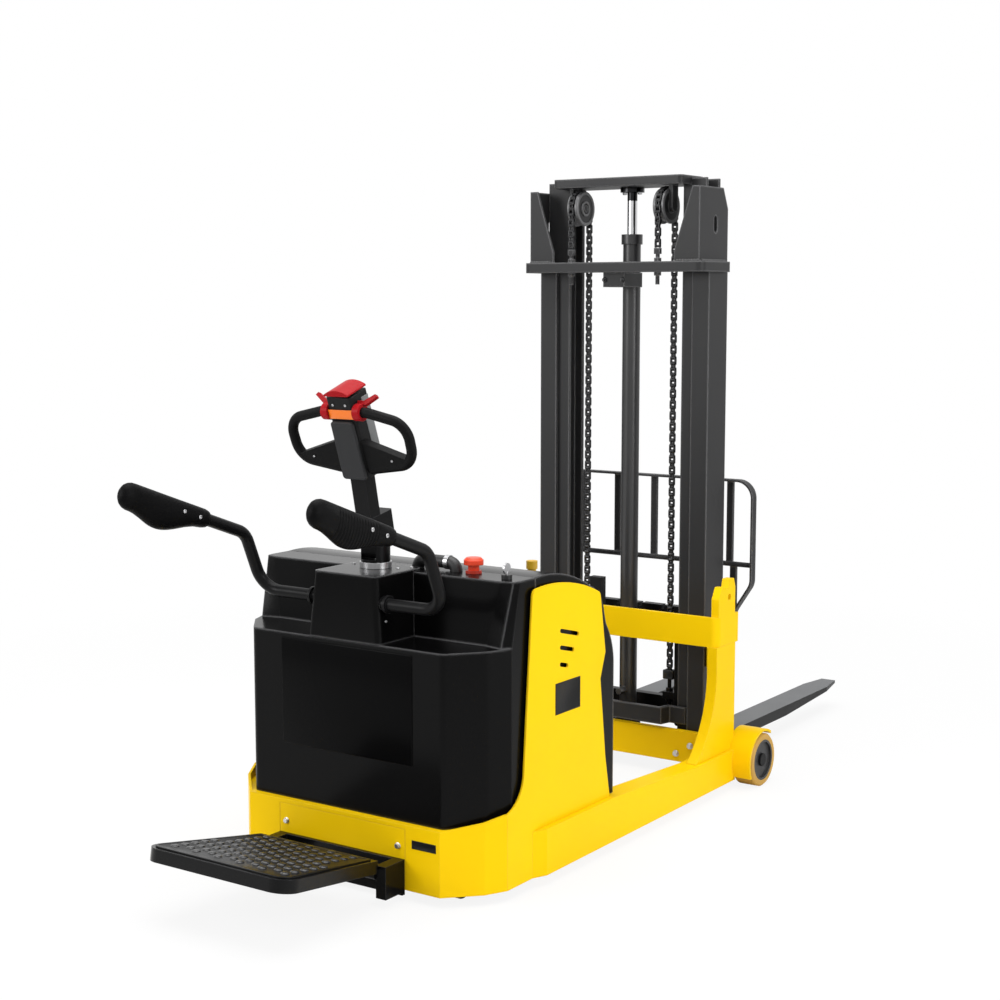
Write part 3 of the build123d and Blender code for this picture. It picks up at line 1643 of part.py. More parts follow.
def face_plane(forward):
    """View along the rider's gaze; sketches are drawn as across, along, and grow rearward."""
    return Plane(origin=head_point(0, forward, 0), x_dir=(1, 0, 0), z_dir=(0, -head_cos, -head_sin))


arm_side = Plane(
    origin=tiller_point(-tiller_w / 2, 0, 0), x_dir=(0, lean_cos, lean_sin), z_dir=(1, 0, 0)
)
arm_across = Plane(
    origin=tiller_point(0, 0, spring_box_z), x_dir=(1, 0, 0), z_dir=(0, -lean_sin, lean_cos)
)

with BuildPart() as tiller_tube:
    with BuildSketch(arm_side):
        Circle(tiller_eye)
        Rectangle(tiller_d, head_low + head_round, align=centre_low)
        Circle(tiller_pin_d / 2 + run_fit, mode=Mode.SUBTRACT)
    extrude(amount=tiller_w)
    # Housing of the return spring on the front of the arm
    with BuildSketch(arm_across) as spring_box:
        with Locations((0, -tiller_d / 2)):
            Rectangle(spring_box_w, spring_box_d, align=centre_low)
        fillet(spring_box.vertices(), spring_box_w / 6)
    extrude(amount=spring_box_l)
write(tiller_tube, "tiller_tube")

rocker_floor = rocker_depth + rocker_l / 8

with BuildPart() as tiller_head:
    with BuildSketch(across_plane(head_low)) as head_section:
        with Locations((0, head_rear)):
            Rectangle(2 * head_half, head_front - head_rear, align=centre_low)
        fillet(head_section.vertices(), head_round)
    extrude(amount=head_high - head_low)
    add(tiller_tube.part, mode=Mode.SUBTRACT)
    # Guide for the stem of the reversing button
    with BuildSketch(across_plane(head_high)):
        Circle(belly_stem_d / 2 + run_fit)
    extrude(amount=-2 * belly_h, mode=Mode.SUBTRACT)
    # Pockets for the lift rocker and the horn button, with the rocker's pin
    with BuildSketch(face_plane(head_front)):
        with Locations((0, rocker_z)):
            Rectangle(rocker_w + 2 * slide_gap, rocker_l + 2 * rocker_swing)
    extrude(amount=rocker_floor, mode=Mode.SUBTRACT)
    with BuildSketch(side_plane(-rocker_w / 2 - slide_gap)):
        with Locations((head_front - rocker_depth / 2, rocker_z)):
            Circle(rocker_pin_d / 2)
    extrude(amount=rocker_w + 2 * slide_gap)
    with BuildSketch(face_plane(head_front)):
        with Locations((0, horn_z)):
            Circle(button_d / 2 + run_fit)
    extrude(amount=button_depth + button_travel + slide_gap, mode=Mode.SUBTRACT)
write(tiller_head, "tiller_head")

with BuildPart() as head_cover:
    with BuildSketch(face_plane(head_rear)) as cover_view:
        with BuildLine():
            Polyline(
                (-cover_plate_half, head_low),
                (cover_plate_half, head_low),
                (cover_plate_half - cover_plate_taper, cover_plate_high),
                (cover_plate_taper - cover_plate_half, cover_plate_high),
                close=True,
            )
        make_face()
        fillet(cover_view.vertices(), head_round)
    extrude(amount=cover_plate_t)
    chamfer(head_cover.faces().sort_by(Axis.Y)[0].edges(), cover_plate_t / 4)
write(head_cover, "head_cover")

with BuildPart() as right_loop:
    with BuildLine() as grip:
        FilletPolyline(
            head_point(head_half, loop_y, loop_z),
            head_point(loop_bend, loop_y, loop_z),
            head_point(loop_out, loop_y, loop_z - loop_fall),
            head_point(loop_low_out, loop_y, loop_low),
            head_point(head_half + loop_inset, loop_y, head_low + head_round + loop_tube / 2),
            radius=loop_round,
        )
    with BuildSketch(Plane(origin=grip.line @ 0, z_dir=grip.line % 0)):
        Circle(loop_tube / 2)
    sweep()
    with BuildSketch(face_plane(loop_y + wing_t / 2)):
        with BuildLine():
            Polyline(
                (head_half, wing_top),
                (wing_out, wing_top - wing_fall),
                (wing_low_out, wing_low),
                (loop_low_out - loop_round, loop_low - loop_inset),
                (head_half, head_low + head_round + loop_tube / 2),
                close=True,
            )
        make_face()
    extrude(amount=wing_t)

write_both(right_loop, "handle_loops")

with BuildPart() as right_paddle:
    with BuildSketch(side_plane(head_half + slide_gap)):
        with Locations((loop_y, loop_z)):
            Circle(paddle_d / 2)
            Circle(loop_tube / 2 + run_fit, mode=Mode.SUBTRACT)
    extrude(amount=paddle_w)
    # Lever that flares up and outward from the boss
    paddle_in = head_half + slide_gap
    paddle_low = paddle_d / 2 - paddle_tip / 2
    grip_face = Plane(
        origin=head_point(0, loop_y, loop_z), x_dir=(1, 0, 0), z_dir=(0, -head_cos, -head_sin)
    )
    with BuildSketch(grip_face.rotated((-paddle_sweep, 0, 0))):
        with BuildLine():
            Polyline(
                (paddle_in, paddle_low),
                (paddle_in, paddle_d / 2 + paddle_tip),
                (paddle_in + paddle_w, paddle_d / 2 + paddle_tip),
                (paddle_in + paddle_reach - paddle_tip, paddle_lever),
                (paddle_in + paddle_reach, paddle_lever - paddle_tip),
                (paddle_in + paddle_w + paddle_tip, paddle_low),
                close=True,
            )
        make_face()
    extrude(amount=paddle_t / 2, both=True)

write_both(right_paddle, "thumb_paddles")

belly_z = head_high + belly_travel + slide_gap

with BuildPart() as belly_button:
    with BuildSketch(face_plane(head_front)):
        with BuildLine():
            Polyline((-belly_half, belly_z + belly_h / 4), (-belly_half, belly_z), (belly_half, belly_z))
            Line((belly_half, belly_z), (belly_half, belly_z + belly_h / 4))
            ThreePointArc(
                (belly_half, belly_z + belly_h / 4),
                (0, belly_z + belly_h),
                (-belly_half, belly_z + belly_h / 4),
            )
        make_face()
    extrude(amount=head_front - head_rear + cover_plate_t / 2)
    with BuildSketch(across_plane(belly_z)):
        Circle(belly_stem_d / 2)
    extrude(amount=-belly_h)
write(belly_button, "belly_button")

with BuildPart() as lift_rocker:
    with BuildSketch(side_plane(-rocker_w / 2)):
        with BuildLine():
            Polyline(
                (head_front - rocker_depth, rocker_z),
                (head_front, rocker_z - rocker_l / 2),
                (head_front + button_h, rocker_z - rocker_l / 2),
                (head_front + button_h / 2, rocker_z),
                (head_front + button_h, rocker_z + rocker_l / 2),
                (head_front, rocker_z + rocker_l / 2),
                close=True,
            )
        make_face()
        with Locations((head_front - rocker_depth / 2, rocker_z)):
            Circle(rocker_pin_d / 2 + run_fit, mode=Mode.SUBTRACT)
    extrude(amount=rocker_w)
write(lift_rocker, "lift_rocker")

with BuildPart() as horn_button:
    with BuildSketch(face_plane(head_front + button_h)):
        with Locations((0, horn_z)):
            Circle(button_d / 2)
    extrude(amount=button_h + button_depth)
    crown = horn_button.edges().filter_by(GeomType.CIRCLE).sort_by(Axis.Y)[-1]
    chamfer(crown, button_h / 4)
write(horn_button, "horn_button")


# Fold-up rider platform

rise_sin = math.sin(math.radians(platform_rise))
rise_cos = math.cos(math.radians(platform_rise))


def platform_plane(height):
    """Level with the raised deck; sketches are drawn as across, forward of the hinge."""
    return Plane(
        origin=(0, hinge_y + height * rise_sin, hinge_z + height * rise_cos),
        x_dir=(1, 0, 0),
        z_dir=(0, rise_sin, rise_cos),
    )


def platform_side(x):
    """Side view of the raised deck; sketches are drawn as forward, up from the hinge."""
    return Plane(origin=(x, hinge_y, hinge_z), x_dir=(0, rise_cos, -rise_sin), z_dir=(1, 0, 0))


knuckle_out = ear_half - ear_t - ear_gap
knuckle_in = knuckle_out - knuckle_w

with BuildPart() as platform_bracket:
    with BuildSketch(Plane.XZ.offset(-skirt_y)):
        with Locations((0, ear_low - skirt_t)):
            Rectangle(2 * ear_half, ear_top - ear_low + skirt_t, align=centre_low)
    extrude(amount=deck_t)
    for side in (-ear_half, ear_half - ear_t):
        with BuildSketch(Plane.YZ.offset(side)):
            with BuildLine():
                Polyline(
                    (skirt_y - deck_t, ear_low),
                    (hinge_y - ear_over, ear_low),
                    (hinge_y - ear_over, ear_top),
                    (skirt_y - deck_t, ear_top),
                    close=True,
                )
            make_face()
        extrude(amount=ear_t)
    for side in (-ear_half + ear_t, knuckle_in):
        with BuildSketch(Plane.YZ.offset(side)):
            with Locations((hinge_y, hinge_z)):
                Circle(hinge_pin_d / 2)
        extrude(amount=knuckle_w + ear_gap)
write(platform_bracket, "platform_bracket")

deck_low = slide_gap * 4
deck_high = deck_low + platform_h

with BuildPart() as platform_deck:
    with BuildSketch(platform_plane(deck_low)) as deck_plan:
        with BuildLine():
            Polyline(
                (-platform_front_half, -platform_start),
                (platform_front_half, -platform_start),
                (platform_half, -platform_l),
                (-platform_half, -platform_l),
                close=True,
            )
        make_face()
        fillet(deck_plan.vertices().group_by(Axis.Y)[0], platform_corner)
    extrude(amount=platform_h)
    # Hollow underside with two stiffening ribs left standing
    rib_cell = (2 * platform_front_half - 4 * platform_skin) / 3
    with BuildSketch(platform_plane(deck_low)) as cells:
        with Locations((0, -platform_start - platform_skin)):
            with GridLocations(rib_cell + platform_skin, 1, 3, 1):
                Rectangle(
                    rib_cell, platform_l - platform_start - 2 * platform_skin, align=centre_high
                )
        outer_corners = cells.vertices().group_by(Axis.Y)[0].sort_by(Axis.X)
        fillet([outer_corners[0], outer_corners[-1]], platform_corner - platform_skin)
    extrude(amount=platform_h - platform_skin, mode=Mode.SUBTRACT)
    for side in (-knuckle_out, knuckle_in):
        with BuildSketch(platform_side(side)):
            Circle(hinge_eye)
            with Locations((0, deck_low)):
                Rectangle(platform_start, hinge_eye - deck_low, align=(Align.MAX, Align.MIN))
            Circle(hinge_pin_d / 2 + run_fit, mode=Mode.SUBTRACT)
        extrude(amount=knuckle_w)
write(platform_deck, "platform_deck")

with BuildPart() as platform_mat:
    with BuildSketch(platform_plane(deck_high)) as mat_plan:
        with BuildLine():
            Polyline(
                (mat_inset - platform_front_half, -platform_start - mat_inset),
                (platform_front_half - mat_inset, -platform_start - mat_inset),
                (platform_half - mat_inset, mat_inset - platform_l),
                (mat_inset - platform_half, mat_inset - platform_l),
                close=True,
            )
        make_face()
        fillet(mat_plan.vertices().group_by(Axis.Y)[0], platform_corner - mat_inset)
    extrude(amount=mat_t)
write(platform_mat, "platform_mat")


# Rider side arms

with BuildPart() as arm:
    with BuildLine() as bend:
        FilletPolyline(
            (arm_inner_x, arm_y, arm_z),
            (arm_x, arm_y, arm_z),
            (arm_x, *arm_elbow),
            (arm_x, *arm_end),
            radius=arm_round,
        )
    with BuildSketch(Plane(origin=bend.line @ 0, z_dir=bend.line % 0)):
        Circle(arm_tube / 2)
    sweep()
    with BuildSketch(Plane.YZ.offset(console_half_low + slide_gap)):
        with Locations((arm_y, arm_z)):
            Circle(arm_tube / 2 + fender_t)
    extrude(amount=fender_t)
write_pair(arm, "arm")

with BuildPart() as pad:
    with BuildSketch(Plane.YZ.offset(arm_x - pad_w / 2)):
        with Locations(pad_start):
            Circle(pad_start_h / 2)
        with Locations(pad_mid):
            Circle(pad_mid_h / 2)
        with Locations(pad_end):
            Circle(pad_end_h / 2)
        make_hull()
    extrude(amount=pad_w)
    chamfer(pad.faces().filter_by(Axis.X).edges(), pad_w / 6)
    add(arm.part, mode=Mode.SUBTRACT)
write_pair(pad, "pad")
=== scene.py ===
# %% [markdown]
# # An electric stacker, dressed for the camera
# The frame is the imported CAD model: every node already stands at its real size and place. This lesson
# adds what a drawing office leaves out: finishes, tread, chain links, screws and the soft arm pads.

# %% Load the frame
import math

import bmesh
import bpy
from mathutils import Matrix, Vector


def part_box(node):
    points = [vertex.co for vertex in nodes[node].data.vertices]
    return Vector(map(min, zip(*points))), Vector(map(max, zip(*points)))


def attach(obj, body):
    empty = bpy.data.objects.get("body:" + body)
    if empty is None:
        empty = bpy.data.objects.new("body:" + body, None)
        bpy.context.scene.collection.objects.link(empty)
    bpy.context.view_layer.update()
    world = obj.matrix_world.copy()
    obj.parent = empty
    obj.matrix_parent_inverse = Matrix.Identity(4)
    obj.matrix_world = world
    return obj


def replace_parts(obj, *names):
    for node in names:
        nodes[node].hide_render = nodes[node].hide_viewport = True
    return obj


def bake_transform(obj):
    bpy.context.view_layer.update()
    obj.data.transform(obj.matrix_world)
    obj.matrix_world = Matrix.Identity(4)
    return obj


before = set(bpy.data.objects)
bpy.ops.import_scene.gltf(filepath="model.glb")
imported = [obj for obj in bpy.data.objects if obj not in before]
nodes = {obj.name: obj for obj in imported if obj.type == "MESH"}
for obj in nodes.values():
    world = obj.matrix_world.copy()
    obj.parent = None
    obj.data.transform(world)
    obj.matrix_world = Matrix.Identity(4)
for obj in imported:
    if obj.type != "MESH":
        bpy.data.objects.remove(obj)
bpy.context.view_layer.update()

# %% [markdown]
# ## Camera, floor and light
# The photograph was taken from the rider's right, a little above the hood, with a normal lens. A plain
# pale floor under a white studio keeps the paint colours honest. Three wide soft lamps stand in for the
# studio's light boxes: their soft edges draw the long pale streaks down the glossy covers.

# %% Camera
camera_place, camera_dip, camera_swing = (2.9987, -4.7227, 1.643), 83.3, 34.4
film_wide, lens_long = 36, 61.2
bpy.ops.object.select_all(action="DESELECT")
bpy.ops.object.camera_add(
    location=camera_place,
    rotation=(math.radians(camera_dip), 0, math.radians(camera_swing)),
)
camera = bpy.context.object
camera.name = "studio_camera"
camera.data.sensor_width = film_wide
camera.data.lens = lens_long
bpy.context.scene.camera = camera
bpy.context.scene.view_settings.view_transform = "Standard"
print("camera", tuple(round(v, 3) for v in camera.location))

# %% [markdown]
# Materials and the world are trees of small nodes. Four helpers save typing: one feeds a socket with a plain
# value or with a link, and the others set down a sum, a vector sum, or a stretch from one range to another.


# %% Node helpers
def feed(tree, socket, value):
    """Set a socket to a plain value, or link another socket to it."""
    if isinstance(value, bpy.types.NodeSocket):
        tree.links.new(value, socket)
    else:
        socket.default_value = value


def sum_node(tree, operation, *values):
    """The result of a sum on one or two values."""
    node = tree.nodes.new("ShaderNodeMath")
    node.operation = operation
    for socket, value in zip(node.inputs, values):
        feed(tree, socket, value)
    return node.outputs[0]


def vector_node(tree, operation, *values):
    """The outputs of a vector sum: "Vector", or "Value" where the result is one number."""
    node = tree.nodes.new("ShaderNodeVectorMath")
    node.operation = operation
    for socket, value in zip(node.inputs, values):
        feed(tree, socket, value)
    return node.outputs


def ranged(tree, value, low, high, to_low=0.0, to_high=1.0):
    """The value stretched from one range to another, and held inside it."""
    node = tree.nodes.new("ShaderNodeMapRange")
    feed(tree, node.inputs["Value"], value)
    feed(tree, node.inputs["From Min"], low)
    feed(tree, node.inputs["From Max"], high)
    feed(tree, node.inputs["To Min"], to_low)
    feed(tree, node.inputs["To Max"], to_high)
    return node.outputs["Result"]


# %% World: white where it is seen, gentle where it lights
white, seen_level, light_level = (1, 1, 1, 1), 1.0, 0.42
world = bpy.data.worlds.new("studio_air")
bpy.context.scene.world = world
world.use_nodes = True
air = world.node_tree
air.nodes.clear()
seen = air.nodes.new("ShaderNodeBackground")
lighting = air.nodes.new("ShaderNodeBackground")
for background, level in ((seen, seen_level), (lighting, light_level)):
    background.inputs["Color"].default_value = white
    background.inputs["Strength"].default_value = level
rays = air.nodes.new("ShaderNodeLightPath").outputs
seen_ray = sum_node(air, "MAXIMUM", rays["Is Camera Ray"], rays["Is Glossy Ray"])
seen_ray = sum_node(air, "MAXIMUM", seen_ray, rays["Is Transmission Ray"])
mixed = air.nodes.new("ShaderNodeMixShader")
out = air.nodes.new("ShaderNodeOutputWorld")
air.links.new(seen_ray, mixed.inputs[0])
air.links.new(lighting.outputs[0], mixed.inputs[1])
air.links.new(seen.outputs[0], mixed.inputs[2])
air.links.new(mixed.outputs[0], out.inputs["Surface"])
print("world", world.name)

# %% [markdown]
# The floor has to be white in the picture and still hold the truck's shadow. The camera sees mostly a white
# glow, with a little of the matt floor showing through it near the truck, where the shadow lies.

# %% Floor
floor_wide, floor_grey = 60, (0.86, 0.86, 0.86, 1)
shadow_near, shadow_far, near_glow, far_glow = 1.6, 4.0, 0.88, 1.0
bpy.ops.mesh.primitive_plane_add(size=floor_wide, location=(0, 0, 0))
floor = bpy.context.object
floor.name = "studio_floor"
floor_paint = bpy.data.materials.new("studio_floor")
floor_paint.use_nodes = True
tree = floor_paint.node_tree
tree.nodes.clear()
matt = tree.nodes.new("ShaderNodeBsdfDiffuse")
matt.inputs["Color"].default_value = floor_grey
glow = tree.nodes.new("ShaderNodeEmission")
glow.inputs["Strength"].default_value = seen_level
place = tree.nodes.new("ShaderNodeTexCoord").outputs["Object"]
reach = vector_node(tree, "LENGTH", place)["Value"]
far = ranged(tree, reach, shadow_near, shadow_far, near_glow, far_glow)
camera_ray = tree.nodes.new("ShaderNodeLightPath").outputs["Is Camera Ray"]
mixed = tree.nodes.new("ShaderNodeMixShader")
out = tree.nodes.new("ShaderNodeOutputMaterial")
tree.links.new(sum_node(tree, "MULTIPLY", camera_ray, far), mixed.inputs[0])
tree.links.new(matt.outputs[0], mixed.inputs[1])
tree.links.new(glow.outputs[0], mixed.inputs[2])
tree.links.new(mixed.outputs[0], out.inputs["Surface"])
floor.data.materials.append(floor_paint)
print("floor", floor.name, floor_wide, "m wide")


# %% Lamps
def soft_lamp(name, place, aim, width, height, watts):
    """A wide lamp that stands at a place and shines at a point."""
    bpy.ops.object.light_add(type="AREA", location=place)
    lamp = bpy.context.object
    lamp.name = name
    lamp.data.shape = "RECTANGLE"
    lamp.data.size = width
    lamp.data.size_y = height
    lamp.data.energy = watts
    lamp.rotation_euler = (Vector(aim) - Vector(place)).to_track_quat("-Z", "Y").to_euler()


soft_lamp("overhead_box", place=(0.2, -0.6, 5.4), aim=(0, 0, 0.6), width=5.0, height=5.0, watts=280)
soft_lamp("right_box", place=(5.6, -1.0, 2.6), aim=(0.3, -0.2, 0.8), width=2.4, height=3.2, watts=140)
soft_lamp("rear_box", place=(-3.2, -5.6, 3.0), aim=(0, -0.8, 0.7), width=2.4, height=2.4, watts=150)

# %% [markdown]
# ## Shared surface effects
# Painted plate is never quite even: it carries a faint orange-peel ripple, a little cloudiness, a film of dust
# and edges rubbed pale; on the black covers and the mast these pale edges are painted highlights as well as wear.
# These are node groups so that every finish can use them with its own values. They put out only masks, heights
# and normals; each material keeps its own shader.


# %% Group: clouded tone and dust
def new_group(name, inputs, outputs):
    """An empty node group with named sockets, and its two end nodes."""
    group = bpy.data.node_groups.new(name, "ShaderNodeTree")
    for label, kind, value in inputs:
        socket = group.interface.new_socket(label, in_out="INPUT", socket_type=kind)
        if value is not None:
            socket.default_value = value
    for label, kind in outputs:
        group.interface.new_socket(label, in_out="OUTPUT", socket_type=kind)
    return group, group.nodes.new("NodeGroupInput"), group.nodes.new("NodeGroupOutput")


def noise(tree, vector, scale, detail, rough=0.5):
    """Soft random values over the surface."""
    node = tree.nodes.new("ShaderNodeTexNoise")
    node.inputs["Detail"].default_value = detail
    node.inputs["Roughness"].default_value = rough
    feed(tree, node.inputs["Scale"], scale)
    feed(tree, node.inputs["Vector"], vector)
    return node.outputs["Fac"]


cloud_group, cloud_in, cloud_out = new_group(
    "clouded_tone",
    (("Place", "NodeSocketVector", None), ("Size", "NodeSocketFloat", 3.0), ("Dust", "NodeSocketFloat", 0.05)),
    (("Cloud", "NodeSocketFloat"), ("Film", "NodeSocketFloat")),
)
cloud = noise(cloud_group, cloud_in.outputs["Place"], cloud_in.outputs["Size"], detail=4)
specks = noise(cloud_group, cloud_in.outputs["Place"], scale=160, detail=2, rough=0.7)
specks = ranged(cloud_group, specks, low=0.66, high=0.8)
film = ranged(cloud_group, specks, low=0.0, high=1.0, to_high=cloud_in.outputs["Dust"])
cloud_group.links.new(ranged(cloud_group, cloud, low=0.3, high=0.7), cloud_out.inputs["Cloud"])
cloud_group.links.new(film, cloud_out.inputs["Film"])
print("group", cloud_group.name)

# %% Group: fine grain for bump
grain_group, grain_in, grain_out = new_group(
    "fine_grain",
    (("Place", "NodeSocketVector", None), ("Size", "NodeSocketFloat", 400.0)),
    (("Height", "NodeSocketFloat"),),
)
grain = noise(grain_group, grain_in.outputs["Place"], grain_in.outputs["Size"], detail=2, rough=0.6)
grain_group.links.new(grain, grain_out.inputs["Height"])
print("group", grain_group.name)

# %% [markdown]
# Rubbed edges are found by comparing the true normal with a bevelled one: they agree on a flat face and part
# company at an edge. Where a finish gives its edges a bright tone, the same mask paints highlights there. The
# bevelled normal also softens every sharp CAD edge, as paint and moulding do on the real truck, so the group
# puts out both.

# %% Group: worn and highlit edges
edge_group, edge_in, edge_out = new_group(
    "worn_and_highlit_edges",
    (("Radius", "NodeSocketFloat", 0.0025), ("Wear", "NodeSocketFloat", 0.35)),
    (("Rim", "NodeSocketFloat"), ("Soft Normal", "NodeSocketVector")),
)
soft_edge = edge_group.nodes.new("ShaderNodeBevel")
soft_edge.samples = 4
edge_group.links.new(edge_in.outputs["Radius"], soft_edge.inputs["Radius"])
true_face = edge_group.nodes.new("ShaderNodeNewGeometry")
agree = vector_node(edge_group, "DOT_PRODUCT", soft_edge.outputs["Normal"], true_face.outputs["Normal"])["Value"]
rim = ranged(edge_group, agree, low=0.985, high=0.75, to_high=edge_in.outputs["Wear"])
edge_group.links.new(rim, edge_out.inputs["Rim"])
edge_group.links.new(soft_edge.outputs["Normal"], edge_out.inputs["Soft Normal"])
print("group", edge_group.name)

# %% [markdown]
# ## The finishes
# One maker's recipe serves all the hard surfaces: a base tone that the first group clouds, a second tone for the
# edges, partly wear and on the covers and mast partly a painted highlight, a film of dust over both, a roughness
# that follows the clouds, and a fine bump. Each finish could have its own tree, but one recipe keeps them alike
# and lets a finish be written as a line of values.

# %% Recipe for hard finishes
dust_tone, smoothest, roughest, ripple_high = (0.42, 0.4, 0.37), 0.9, 1.12, 0.001


def mix_tones(tree, share, first, second):
    """A mix of two tones, each a colour or a socket."""
    node = tree.nodes.new("ShaderNodeMix")
    node.data_type = "RGBA"
    tree.links.new(share, node.inputs["Factor"])
    for label, tone in (("A", first), ("B", second)):
        feed(tree, node.inputs[label], (*tone, 1) if isinstance(tone, (tuple, list)) else tone)
    return node.outputs["Result"]


def group_node(tree, group, **values):
    """A node group set down in a material, with its inputs fed."""
    node = tree.nodes.new("ShaderNodeGroup")
    node.node_tree = group
    for label, value in values.items():
        feed(tree, node.inputs[label], value)
    return node.outputs


def finish(name, tone, wear_and_highlight_tone, rough, metal=0.0, specular=0.5, grain_size=420.0, grain_depth=0.08, edge=0.0025,
           rim_highlight_and_wear=0.35, cloud_size=3.0, cloud_depth=0.06, dust=0.05):
    """A painted, metal or moulded surface."""
    material = bpy.data.materials.new(name)
    material.use_nodes = True
    tree = material.node_tree
    shader = tree.nodes["Principled BSDF"]
    place = tree.nodes.new("ShaderNodeTexCoord").outputs["Object"]
    clouds = group_node(tree, cloud_group, Place=place, Size=cloud_size, Dust=dust)
    edges = group_node(tree, edge_group, Radius=edge, Wear=rim_highlight_and_wear)
    grain = group_node(tree, grain_group, Place=place, Size=grain_size)
    darker = [part * (1 - cloud_depth) for part in tone]
    paler = [min(1.0, part * (1 + cloud_depth)) for part in tone]
    colour = mix_tones(tree, clouds["Cloud"], darker, paler)
    colour = mix_tones(tree, edges["Rim"], colour, wear_and_highlight_tone)
    colour = mix_tones(tree, clouds["Film"], colour, dust_tone)
    tree.links.new(colour, shader.inputs["Base Color"])
    roughness = ranged(tree, clouds["Cloud"], 0.0, 1.0, rough * smoothest, min(1.0, rough * roughest))
    tree.links.new(roughness, shader.inputs["Roughness"])
    ripple = tree.nodes.new("ShaderNodeBump")
    ripple.inputs["Strength"].default_value = grain_depth
    ripple.inputs["Distance"].default_value = ripple_high
    tree.links.new(grain["Height"], ripple.inputs["Height"])
    tree.links.new(edges["Soft Normal"], ripple.inputs["Normal"])
    tree.links.new(ripple.outputs["Normal"], shader.inputs["Normal"])
    shader.inputs["Metallic"].default_value = metal
    shader.inputs["Specular IOR Level"].default_value = specular
    return material


def lay_over(material, mask, tone):
    """Lay another tone over the base colour where the mask is 1."""
    tree = material.node_tree
    colour = tree.nodes["Principled BSDF"].inputs["Base Color"]
    tree.links.new(mix_tones(tree, mask, colour.links[0].from_socket, tone), colour)


# %% [markdown]
# The truck's paint is a warm safety yellow with a hard shine. The covers are black and glossy, the mast is
# a satin charcoal, and the fork carriage and platform are a plain black stove paint. The faces of the forks that
# look up get a paler grey: partly wear rubbed in by loads, partly a painted reflection of the bright light above.

# %% Paints and covers
truck_yellow = dict(tone=(0.92, 0.59, 0.003), wear_and_highlight_tone=(1.0, 0.7, 0.06), rough=0.34, specular=0.04, grain_size=260,
                    grain_depth=0.05, edge=0.004, rim_highlight_and_wear=0.5, cloud_depth=0.03, dust=0.02)
yellow_paint = finish("yellow_paint", **truck_yellow)
# The pale edge tone and its large share paint highlights along the hood's and console's edges, on top of wear.
black_cover = finish("black_cover", (0.002, 0.002, 0.0021), (0.22, 0.22, 0.225), 0.2, specular=0.08,
                     grain_size=300, grain_depth=0.04, edge=0.009, rim_highlight_and_wear=0.75, dust=0.003)
panel_cover = finish("panel_cover", (0.002, 0.002, 0.0021), (0.03, 0.03, 0.032), 0.22, specular=0.04,
                     grain_size=300, grain_depth=0.04, edge=0.004, rim_highlight_and_wear=0.3, dust=0.01)
# The pale edge tone and its large share paint highlights along the mast's rail edges, on top of wear.
charcoal_steel = finish("charcoal_steel", (0.022, 0.022, 0.0228), (0.26, 0.26, 0.265), 0.42, specular=0.2,
                        grain_size=340, grain_depth=0.06, edge=0.01, rim_highlight_and_wear=0.7, cloud_depth=0.1, dust=0.04)
tube_steel = finish("tube_steel", (0.03, 0.03, 0.031), (0.2, 0.2, 0.205), 0.3, specular=0.5,
                    grain_size=340, grain_depth=0.04, edge=0.004, dust=0.03)
black_steel = finish("black_steel", (0.0045, 0.0045, 0.0048), (0.06, 0.06, 0.064), 0.36, specular=0.1,
                     grain_size=320, grain_depth=0.06, edge=0.003, rim_highlight_and_wear=0.5, dust=0.015)
deck_black = finish("deck_black", (0.003, 0.003, 0.0032), (0.08, 0.08, 0.084), 0.2, specular=0.15,
                    grain_size=320, grain_depth=0.05, edge=0.003, rim_highlight_and_wear=0.5, dust=0.015)
fork_black = finish("fork_black", (0.007, 0.007, 0.0074), (0.2, 0.2, 0.21), 0.36, specular=0.12,
                    grain_size=180, grain_depth=0.1, edge=0.003, rim_highlight_and_wear=0.6, dust=0.04)
# Paler grey on the upward faces of the forks: wear from loads, and a painted reflection of the light above.
flat_from, flat_full, rubbed_and_reflection_share, rubbed_and_reflection_grey = 0.85, 0.97, 0.85, (0.14, 0.144, 0.15)
tree = fork_black.node_tree
split = tree.nodes.new("ShaderNodeSeparateXYZ")
tree.links.new(tree.nodes.new("ShaderNodeNewGeometry").outputs["Normal"], split.inputs[0])
lay_over(fork_black, ranged(tree, split.outputs["Z"], flat_from, flat_full, to_high=rubbed_and_reflection_share), rubbed_and_reflection_grey)
print("paints", yellow_paint.name, black_cover.name, charcoal_steel.name, black_steel.name, fork_black.name)

# %% [markdown]
# Bare metal on the truck is bright only where it is plated or rubbed: bolts, rollers and the rod. The chains are
# oiled and nearly black, and the weld beads and pulleys lie between. The metal share of each finish says how much
# of the studio it mirrors.

# %% Metals
bright_steel = finish("bright_steel", (0.55, 0.55, 0.56), (0.75, 0.75, 0.76), 0.3, metal=1.0,
                      grain_size=700, grain_depth=0.05, edge=0.001, dust=0.06)
chain_steel = finish("chain_steel", (0.016, 0.016, 0.017), (0.16, 0.16, 0.165), 0.34, metal=0.5,
                     grain_size=900, grain_depth=0.1, edge=0.001, rim_highlight_and_wear=0.5, dust=0.03)
dark_hub = finish("dark_hub", (0.016, 0.016, 0.017), (0.1, 0.1, 0.1), 0.5,
                  grain_size=500, grain_depth=0.15, edge=0.002, dust=0.08)
weld_steel = finish("weld_steel", (0.05, 0.05, 0.051), (0.2, 0.2, 0.2), 0.36, specular=0.4,
                    grain_size=600, grain_depth=0.2, edge=0.002, dust=0.03)
pulley_steel = finish("pulley_steel", (0.13, 0.13, 0.133), (0.3, 0.3, 0.31), 0.42, metal=0.3,
                      grain_size=700, grain_depth=0.06, edge=0.0015, dust=0.04)
print("metals", bright_steel.name, chain_steel.name, dark_hub.name, pulley_steel.name)

# %% [markdown]
# Plastics and rubbers reflect little and carry a moulded grain, so they have a finer and deeper bump than paint.
# The load wheels are amber polyurethane, which is cloudy, so their clouds are deeper.

